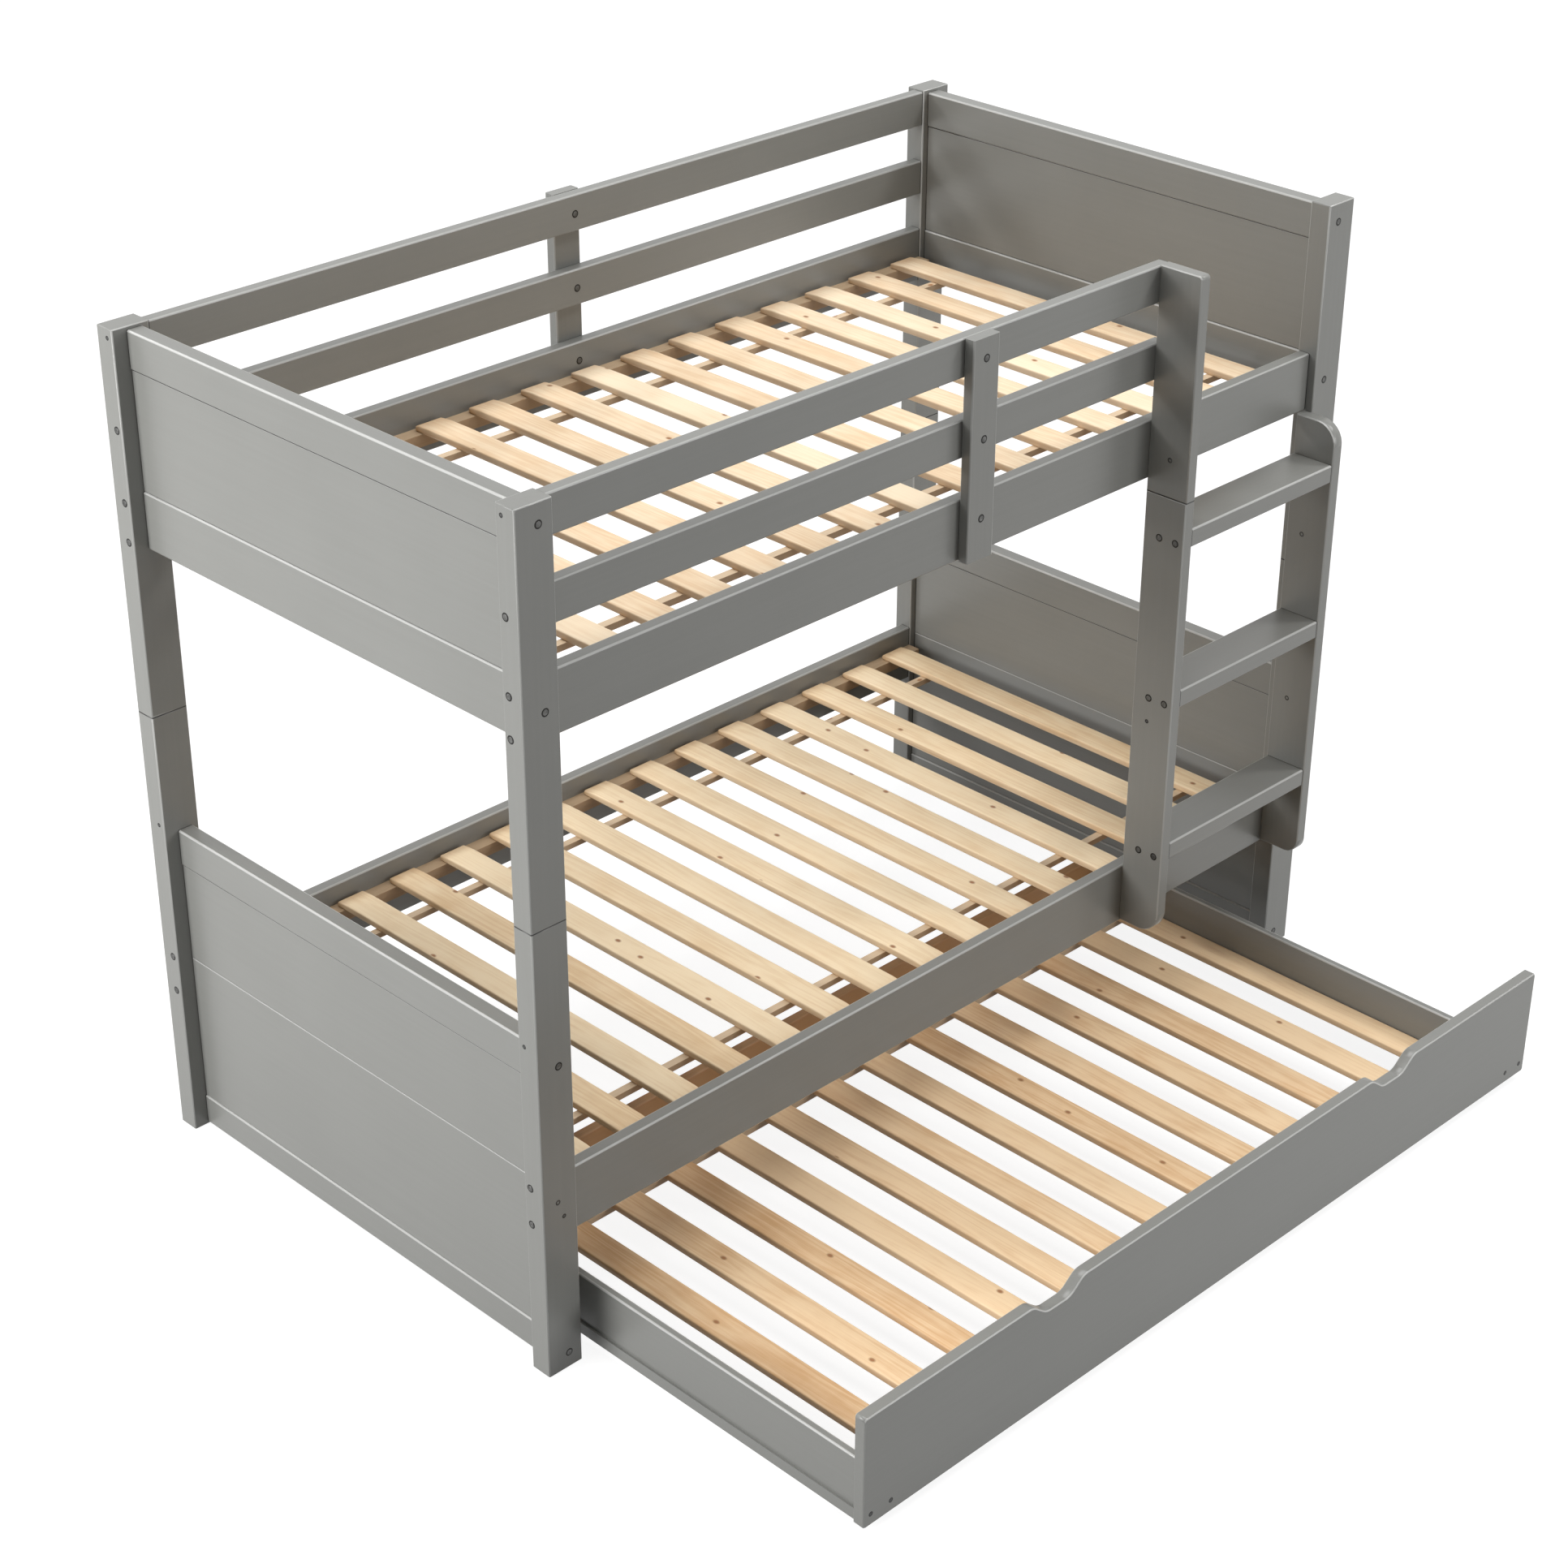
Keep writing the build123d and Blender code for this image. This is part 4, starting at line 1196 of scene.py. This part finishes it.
@dataclass
class BedFrame:
    """Posts, end frames, rails and guard boards of both beds."""

    body: str = "bed"
    # Painted highlight on the long boards' upward round-overs, fainter than on the other boards.
    long_board_painted_highlight: float = 0.3

    def build(self, finishes: Finishes) -> None:
        """Round and paint the boards, each with its grain along its length.

        Args:
            finishes: the bed's finishes.
        """
        boards = EasedBoards(self.body)
        for corner in [f"{face}_{side}" for face in ("front", "back") for side in ("left", "right")]:
            upper_foot = ends(f"upper_post_{corner}", Axis.Z, FINE_SEAM)[:1]
            lower_top = ends(f"lower_post_{corner}", Axis.Z, FINE_SEAM)[1:]
            boards.build_one(f"upper_post_{corner}", finishes.paint[Axis.Z], upper_foot)
            boards.build_one(f"lower_post_{corner}", finishes.paint[Axis.Z], lower_top)
        boards.build(["front_guard_support", "back_guard_support"], finishes.paint[Axis.Z])
        for side in ("left", "right"):
            self._build_end(boards, side, finishes.paint[Axis.Y])
        long_boards = EasedBoards(self.body, upward_painted_highlight=self.long_board_painted_highlight)
        for face in ("front", "back"):
            names = [f"upper_{face}_rail", f"lower_{face}_rail", f"{face}_top_guard", f"{face}_low_guard"]
            long_boards.build(names, finishes.paint[Axis.X], Axis.X)

    @staticmethod
    def _build_end(boards: EasedBoards, side: str, paint: bpy.types.Material) -> None:
        """Paint the boards of one end, stacked between its posts.

        Args:
            boards: the maker of the boards.
            side: left or right.
            paint: their paint.
        """
        stacks = (
            ("upper_{}_bottom_rail", "upper_{}_panel", "upper_{}_top_rail"),
            ("lower_{}_bottom_rail", "lower_{}_lower_panel", "lower_{}_upper_panel", "lower_{}_top_rail"),
        )
        for stack in stacks:
            names = [name.format(side) for name in stack]
            for below, name, above in zip(names, names[1:], names[2:]):
                butts = ends(name, Axis.Y)
                butts.append(Butt(Axis.Z, face_of(below, Axis.Z, 1.0), False, FINE_SEAM))
                if "rail" in above:
                    butts.append(Butt(Axis.Z, face_of(above, Axis.Z, -1.0), True, FINE_SEAM))
                boards.build_one(name, paint, butts)
            boards.build([names[0], names[-1]], paint, Axis.Y)


@dataclass
class Ladder:
    """Guard end post, two stiles and the steps."""

    body: str = "bed"
    uprights: tuple[str, ...] = ("guard_end_post", "ladder_left_stile", "ladder_right_stile")
    steps: str = "ladder_steps"

    def build(self, finishes: Finishes) -> None:
        """Round and paint the ladder.

        Args:
            finishes: the bed's finishes.
        """
        boards = EasedBoards(self.body)
        post, left, right = self.uprights
        boards.build_one(post, finishes.paint[Axis.Z], ends(post, Axis.Z, FINE_SEAM)[:1])
        boards.build_one(left, finishes.paint[Axis.Z], ends(left, Axis.Z, FINE_SEAM)[1:])
        boards.build([right], finishes.paint[Axis.Z])
        boards.build([self.steps], finishes.paint[Axis.X], Axis.X)


def build_deck(name: str, body: str, seed: int, finishes: Finishes) -> None:
    """Lay a deck's slats and dress the ledges and battens under them.

    Args:
        name: upper, lower or trundle.
        body: the body that it rides on.
        seed: of the slats' tones.
        finishes: the bed's finishes.
    """
    SlatRow(f"{name}_slats", body, seed).build(finishes.pine[f"{name}_slat_pine"])
    dress([f"{name}_slat_cleats"], finishes.pine["ledge_pine"])
    dress([f"{name}_slat_battens"], finishes.pine["batten_pine"])


@dataclass
class Decks:
    """Slats, ledges and battens of the two beds."""

    body: str = "bed"
    upper_seed: int = 11
    lower_seed: int = 23

    def build(self, finishes: Finishes) -> None:
        """Lay both decks."""
        build_deck("upper", self.body, self.upper_seed, finishes)
        build_deck("lower", self.body, self.lower_seed, finishes)


@dataclass
class Trundle:
    """The roll-out bed: four boards, its slats and its wheels."""

    body: str = "trundle"
    seed: int = 37
    short_boards: tuple[str, ...] = ("trundle_left_side", "trundle_right_side")

    def build(self, finishes: Finishes) -> None:
        """Paint the box, lay the slats and make the wheels.

        Args:
            finishes: the bed's finishes.
        """
        boards = EasedBoards(self.body)
        boards.build(["trundle_front_board"], finishes.paint[Axis.X])
        # The back board's dark pine is painted shade for the shade under the bed.
        boards.build(["trundle_back_board"], finishes.pine["shade_darkened_pine"])
        boards.build(self.short_boards, finishes.paint[Axis.Y], Axis.Y)
        build_deck("trundle", self.body, self.seed, finishes)
        dress(["wheel_brackets", "wheel_axles"], finishes.steel["zinc_steel"])
        for row in ("front", "back"):
            for side in ("left", "right"):
                TrundleWheel(f"wheel_{row}_{side}").build(finishes.wheel)


@dataclass
class Hardware:
    """Bolts and screws of the bed and the trundle."""

    head_share: float = 0.72
    # ring_beyond_bore and wide_gap size the ring of painted shade round each head.
    ring_beyond_bore: float = 0.45 * MILLIMETRE
    bolt_proud: float = 0.6 * MILLIMETRE
    screw_proud: float = 0.3 * MILLIMETRE
    bolt_shank: float = 3.0 * MILLIMETRE
    screw_shank: float = 2.0 * MILLIMETRE
    screw_radius: float = 2.6 * MILLIMETRE
    screw_length: float = 20.0 * MILLIMETRE
    wide_radius: float = 3.9 * MILLIMETRE
    wide_gap: float = 5.0 * MILLIMETRE
    guard_screw_below_top: float = 15.0 * MILLIMETRE
    end_screw_above_rail: float = 16.0 * MILLIMETRE
    panel_bolt_below_line: float = 21.0 * MILLIMETRE
    panel_bolt_outward: float = 12.0 * MILLIMETRE
    panel_screw_below_line: float = 54.0 * MILLIMETRE
    post_screws_below_guards: float = 35.0 * MILLIMETRE
    stile_screws_below_rail: Span = (18.0 * MILLIMETRE, 101.0 * MILLIMETRE)
    stile_fixings_from_back: float = 36.0 * MILLIMETRE
    stile_screw_above_floor: float = 712.0 * MILLIMETRE
    stile_bolts_above_floor: Span = (954.0 * MILLIMETRE, 601.0 * MILLIMETRE)
    guard_bolt_above_joint: float = 72.0 * MILLIMETRE
    guard_bolt_from_back: float = 49.0 * MILLIMETRE
    back_screws_above_floor: Span = (110.0 * MILLIMETRE, 45.0 * MILLIMETRE)
    fork_screw_spread: float = 37.0 * MILLIMETRE
    fork_screw_above_floor: float = 36.0 * MILLIMETRE

    def build(self, finishes: Finishes) -> None:
        """Make the fasteners.

        Args:
            finishes: the bed's finishes.
        """
        bolt, screw = finishes.steel["bolt_steel"], finishes.steel["screw_steel"]
        hexagon, cross = Drive.HEXAGON, Drive.CROSS
        sets = (
            ("bed_bolts", "furniture_bolts", "bed", hexagon, self.bolt_shank, self.bolt_proud, bolt),
            (
                "trundle_screws", "front_board_screws", "trundle", cross,
                self.screw_shank, self.screw_proud, screw,
            ),
        )
        for node, name, body, drive, shank, proud, metal in sets:
            spots, bore = cad_spots(node)
            radius, gap = bore * self.head_share, bore + self.ring_beyond_bore
            FastenerSet(name, body, drive, radius, shank, node, gap, proud).build(spots, metal)
        wide = FastenerSet("wide_bed_bolts", "bed", hexagon, self.wide_radius, self.bolt_shank)
        wide.gap_radius = self.wide_gap
        wide.build(self._wide_bolt_spots(), bolt)
        for body, spots in (("bed", self._bed_screw_spots()), ("trundle", self._trundle_screw_spots())):
            small = FastenerSet(f"small_{body}_screws", body, cross, self.screw_radius, self.screw_shank)
            small.build(spots, screw)
        dress(["dowel_pins"], finishes.steel["zinc_steel"])

    def _spot(self, node: str, axis: Axis, sign: float, across: float, height: float) -> Spot:
        """A fastener on the side of a node's box that looks along X or Y, one way or the other.

        Args:
            node: the node.
            axis: the axis along which the side looks.
            sign: 1 or -1, the way it looks.
            across: where the fastener lies along the other level axis.
            height: its height.

        Returns:
            The spot.
        """
        side = face_of(node, axis, sign)
        x, y = (side, across) if axis is Axis.X else (across, side)
        return Spot(Vector((x, y, height)), axis.way(sign), self.screw_length)

    def _left_spot(self, upright: str, from_back: float, height: float) -> Spot:
        """A fastener on the left side of an upright, that far from its back."""
        return self._spot(upright, Axis.X, -1.0, face_of(upright, Axis.Y, 1.0) - from_back, height)

    def _post_spot(self, level: str, corner: str, height: float) -> Spot:
        """A screw on the outer side of a post, in line with the lower side rail.

        Args:
            level: upper or lower.
            corner: the post's corner, its face and its side.
            height: the screw's height.

        Returns:
            The spot.
        """
        face, side = corner.split("_")
        across = middle_of(f"lower_{face}_rail", Axis.Y)
        return self._spot(f"{level}_post_{corner}", Axis.X, 1.0 if side == "right" else -1.0, across, height)

    def _panel_spots(self, outward: float, below: float) -> list[Spot]:
        """Fasteners on the lower posts' front and back, near the line between the lower panels.

        Args:
            outward: how far they lie outside the middle of the end frame.
            below: how far they lie below the line.

        Returns:
            Two spots for each end.
        """
        spots = []
        for side, away in (("left", -1.0), ("right", 1.0)):
            across = middle_of(f"lower_{side}_top_rail", Axis.X) + away * outward
            height = face_of(f"lower_{side}_lower_panel", Axis.Z, 1.0) - below
            for face, sign in (("front", -1.0), ("back", 1.0)):
                spots.append(self._spot(f"lower_post_{face}_{side}", Axis.Y, sign, across, height))
        return spots

    def _bed_screw_spots(self) -> list[Spot]:
        """Small screws of the guards, panels, lower ends and ladder.

        Returns:
            Their spots.
        """
        guard = face_of("front_top_guard", Axis.Z, 1.0) - self.guard_screw_below_top
        end = face_of("lower_left_top_rail", Axis.Z, 1.0) + self.end_screw_above_rail
        left = ["front_left", "back_left"]
        spots = [self._post_spot("upper", corner, guard) for corner in left + ["back_right"]]
        spots += self._panel_spots(0.0, self.panel_screw_below_line)
        spots += [self._post_spot("lower", corner, end) for corner in left]
        return spots + self._ladder_spots()

    def _ladder_spots(self) -> list[Spot]:
        """Small screws of the guard end post and the stiles.

        Returns:
            Their spots.
        """
        below = self.post_screws_below_guards
        behind = [("guard_end_post", f"front_{guard}_guard", below) for guard in ("top", "low")]
        for side in ("left", "right"):
            for down in self.stile_screws_below_rail:
                behind.append((f"ladder_{side}_stile", "lower_front_rail", down))
        spots = []
        for upright, board, down in behind:
            height = face_of(board, Axis.Z, 1.0) - down
            spots.append(self._spot(board, Axis.Y, 1.0, middle_of(upright, Axis.X), height))
        from_back, height = self.stile_fixings_from_back, self.stile_screw_above_floor
        return spots + [self._left_spot("ladder_left_stile", from_back, height)]

    def _wide_bolt_spots(self) -> list[Spot]:
        """Wider bolts of the lower panels, the guard end post and the right stile.

        Returns:
            Their spots.
        """
        spots = self._panel_spots(self.panel_bolt_outward, self.panel_bolt_below_line)
        height = face_of("guard_end_post", Axis.Z, -1.0) + self.guard_bolt_above_joint
        spots.append(self._left_spot("guard_end_post", self.guard_bolt_from_back, height))
        for height in self.stile_bolts_above_floor:
            spots.append(self._left_spot("ladder_right_stile", self.stile_fixings_from_back, height))
        return spots

    def _trundle_screw_spots(self) -> list[Spot]:
        """Small screws of the trundle's back corners, and two through the plate of each wheel fork.

        Returns:
            Their spots.
        """
        spots = []
        for side in ("left", "right"):
            across = middle_of(f"trundle_{side}_side", Axis.X)
            for height in self.back_screws_above_floor:
                spots.append(self._spot("trundle_back_board", Axis.Y, 1.0, across, height))
        for points in solids_of("wheel_brackets"):
            x, y, sign = self._fork_plate(points)
            for share in (-0.5, 0.5):
                place = Vector((x + share * self.fork_screw_spread, y, self.fork_screw_above_floor))
                spots.append(Spot(place, Axis.Y.way(sign), self.screw_length))
        return spots

    @staticmethod
    def _fork_plate(points: Sequence[Vector]) -> tuple[float, float, float]:
        """Find the bare side of a wheel fork's plate.

        Args:
            points: the fork's corners.

        Returns:
            The plate's middle in X, its bare side in Y and the way that side looks.
        """
        low, high = limits(points)
        toward_back = abs(low.y - face_of("trundle_front_board", Axis.Y, 1.0)) < MILLIMETRE
        plate = low.y if toward_back else high.y
        y = min((p.y for p in points if abs(p.y - plate) > MILLIMETRE), key=lambda v: abs(v - plate))
        return (low.x + high.x) / 2, y, 1.0 if toward_back else -1.0


# Studio

@dataclass(frozen=True)
class Lamp:
    """A large soft lamp."""

    name: str
    place: Point
    target: Point
    size: float
    watts: float

    def build(self) -> None:
        """Hang the lamp and turn it to its target."""
        data = bpy.data.lights.new(self.name, "AREA")
        data.shape = "DISK"
        data.size = self.size
        data.energy = self.watts
        lamp = bpy.data.objects.new(self.name, data)
        lamp.location = self.place
        aim = Vector(self.target) - Vector(self.place)
        lamp.rotation_euler = aim.to_track_quat("-Z", "Y").to_euler()
        bpy.context.scene.collection.objects.link(lamp)


@dataclass
class Studio:
    """Pale floor, white surround, soft lamps and the camera."""

    floor_half: float = 40.0
    floor_glow: Colour = (0.88, 0.88, 0.88, 1.0)
    far_glow: Colour = WHITE
    glow_reach: Span = (2.5, 9.0)
    floor_seen: Colour = (0.24, 0.24, 0.24, 1.0)
    floor_bounce: Colour = (0.28, 0.28, 0.28, 1.0)
    ambient: float = 0.10
    camera_place: Point = (-3.6630, -3.42495, 3.4313)
    camera_turn: Point = (61.139, -0.193, -44.773)
    camera_reach: float = 200.0
    lens: float = 71.954
    sensor: float = 36.0
    lamps: tuple[Lamp, ...] = (
        Lamp("left_key", (-4.4, 1.1, 1.9), (0.0, 0.3, 0.8), 2.4, 182.0),
        Lamp("low_front", (2.0, -5.5, 2.0), (0.3, 0.0, 0.9), 2.4, 118.0),
        Lamp("top_soft", (0.2, 0.2, 8.0), (0.0, 0.0, 0.0), 6.0, 445.0),
        Lamp("back_left_edge_light", (-2.6, 5.0, 4.8), (0.0, 0.3, 1.0), 1.2, 85.0),
        Lamp("front_right_edge_light", (3.4, -2.4, 5.4), (0.0, 0.3, 1.0), 1.2, 90.0),
    )

    def build(self) -> None:
        """Set up everything that isn't the bed."""
        self._floor()
        self._world()
        for lamp in self.lamps:
            lamp.build()
        self._camera()
        bpy.context.scene.view_settings.view_transform = "Standard"

    @staticmethod
    def _seen(graph: Graph) -> Value:
        """1 for what the eye sees, straight or mirrored in paint and steel: there the surround is white.

        Args:
            graph: the tree of the floor or the surround.

        Returns:
            1 for such rays, 0 for the rest.
        """
        rays = ("Is Camera Ray", "Is Glossy Ray", "Is Transmission Ray")
        direct, mirrored, through = [graph.node("ShaderNodeLightPath", output=ray) for ray in rays]
        return direct.most(mirrored).most(through)

    def _floor(self) -> None:
        """Lay a plain floor that looks white and keeps a soft shadow."""
        material = bpy.data.materials.new("studio_floor")
        material.use_nodes = True
        material.node_tree.nodes.clear()
        graph = Graph(material.node_tree)
        bounce = graph.node("ShaderNodeBsdfDiffuse", {}, {"Color": self.floor_bounce})
        shade = graph.node("ShaderNodeBsdfDiffuse", {}, {"Color": self.floor_seen})
        place = graph.node("ShaderNodeTexCoord", output="Object")
        away = graph.node("ShaderNodeVectorMath", {"operation": "LENGTH"}, {0: place}, output="Value")
        tone = graph.mix(away.step(*self.glow_reach), self.floor_glow, self.far_glow)
        glow = graph.node("ShaderNodeEmission", {}, {"Color": tone})
        shown = graph.node("ShaderNodeAddShader", {}, {0: shade, 1: glow})
        mixed = graph.node("ShaderNodeMixShader", {}, {0: self._seen(graph), 1: bounce, 2: shown})
        graph.node("ShaderNodeOutputMaterial", {}, {"Surface": mixed})
        half = self.floor_half
        corners = [(x * half, y * half, 0.0) for x, y in ((-1, -1), (1, -1), (1, 1), (-1, 1))]
        data = bpy.data.meshes.new("studio_floor")
        data.from_pydata(corners, [], [(0, 1, 2, 3)])
        data.materials.append(material)
        new_object("studio_floor", data)

    def _world(self) -> None:
        """Surround the bed with what is white to the eye and even in light."""
        world = bpy.data.worlds.new("studio_surround")
        world.use_nodes = True
        world.node_tree.nodes.clear()
        graph = Graph(world.node_tree)
        strength = self._seen(graph) * (1.0 - self.ambient) + self.ambient
        light = graph.node("ShaderNodeBackground", {}, {"Color": WHITE, "Strength": strength})
        graph.node("ShaderNodeOutputWorld", {}, {"Surface": light})
        bpy.context.scene.world = world

    def _camera(self) -> None:
        """Place the camera at the photograph's angle."""
        data = bpy.data.cameras.new("studio_camera")
        data.lens = self.lens
        data.sensor_width = self.sensor
        data.sensor_fit = "AUTO"
        data.clip_end = self.camera_reach
        camera = bpy.data.objects.new("studio_camera", data)
        camera.location = self.camera_place
        camera.rotation_euler = [math.radians(angle) for angle in self.camera_turn]
        bpy.context.scene.collection.objects.link(camera)
        bpy.context.scene.camera = camera


def main() -> None:
    """Build every sub-assembly in order."""
    logging.basicConfig(level=logging.INFO, format="%(name)s: %(message)s")
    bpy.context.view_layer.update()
    finishes = Finishes()
    for part in (BedFrame(), Ladder(), Decks(), Trundle(), Hardware()):
        part.build(finishes)
    Studio().build()


if __name__ == "__main__":
    main()
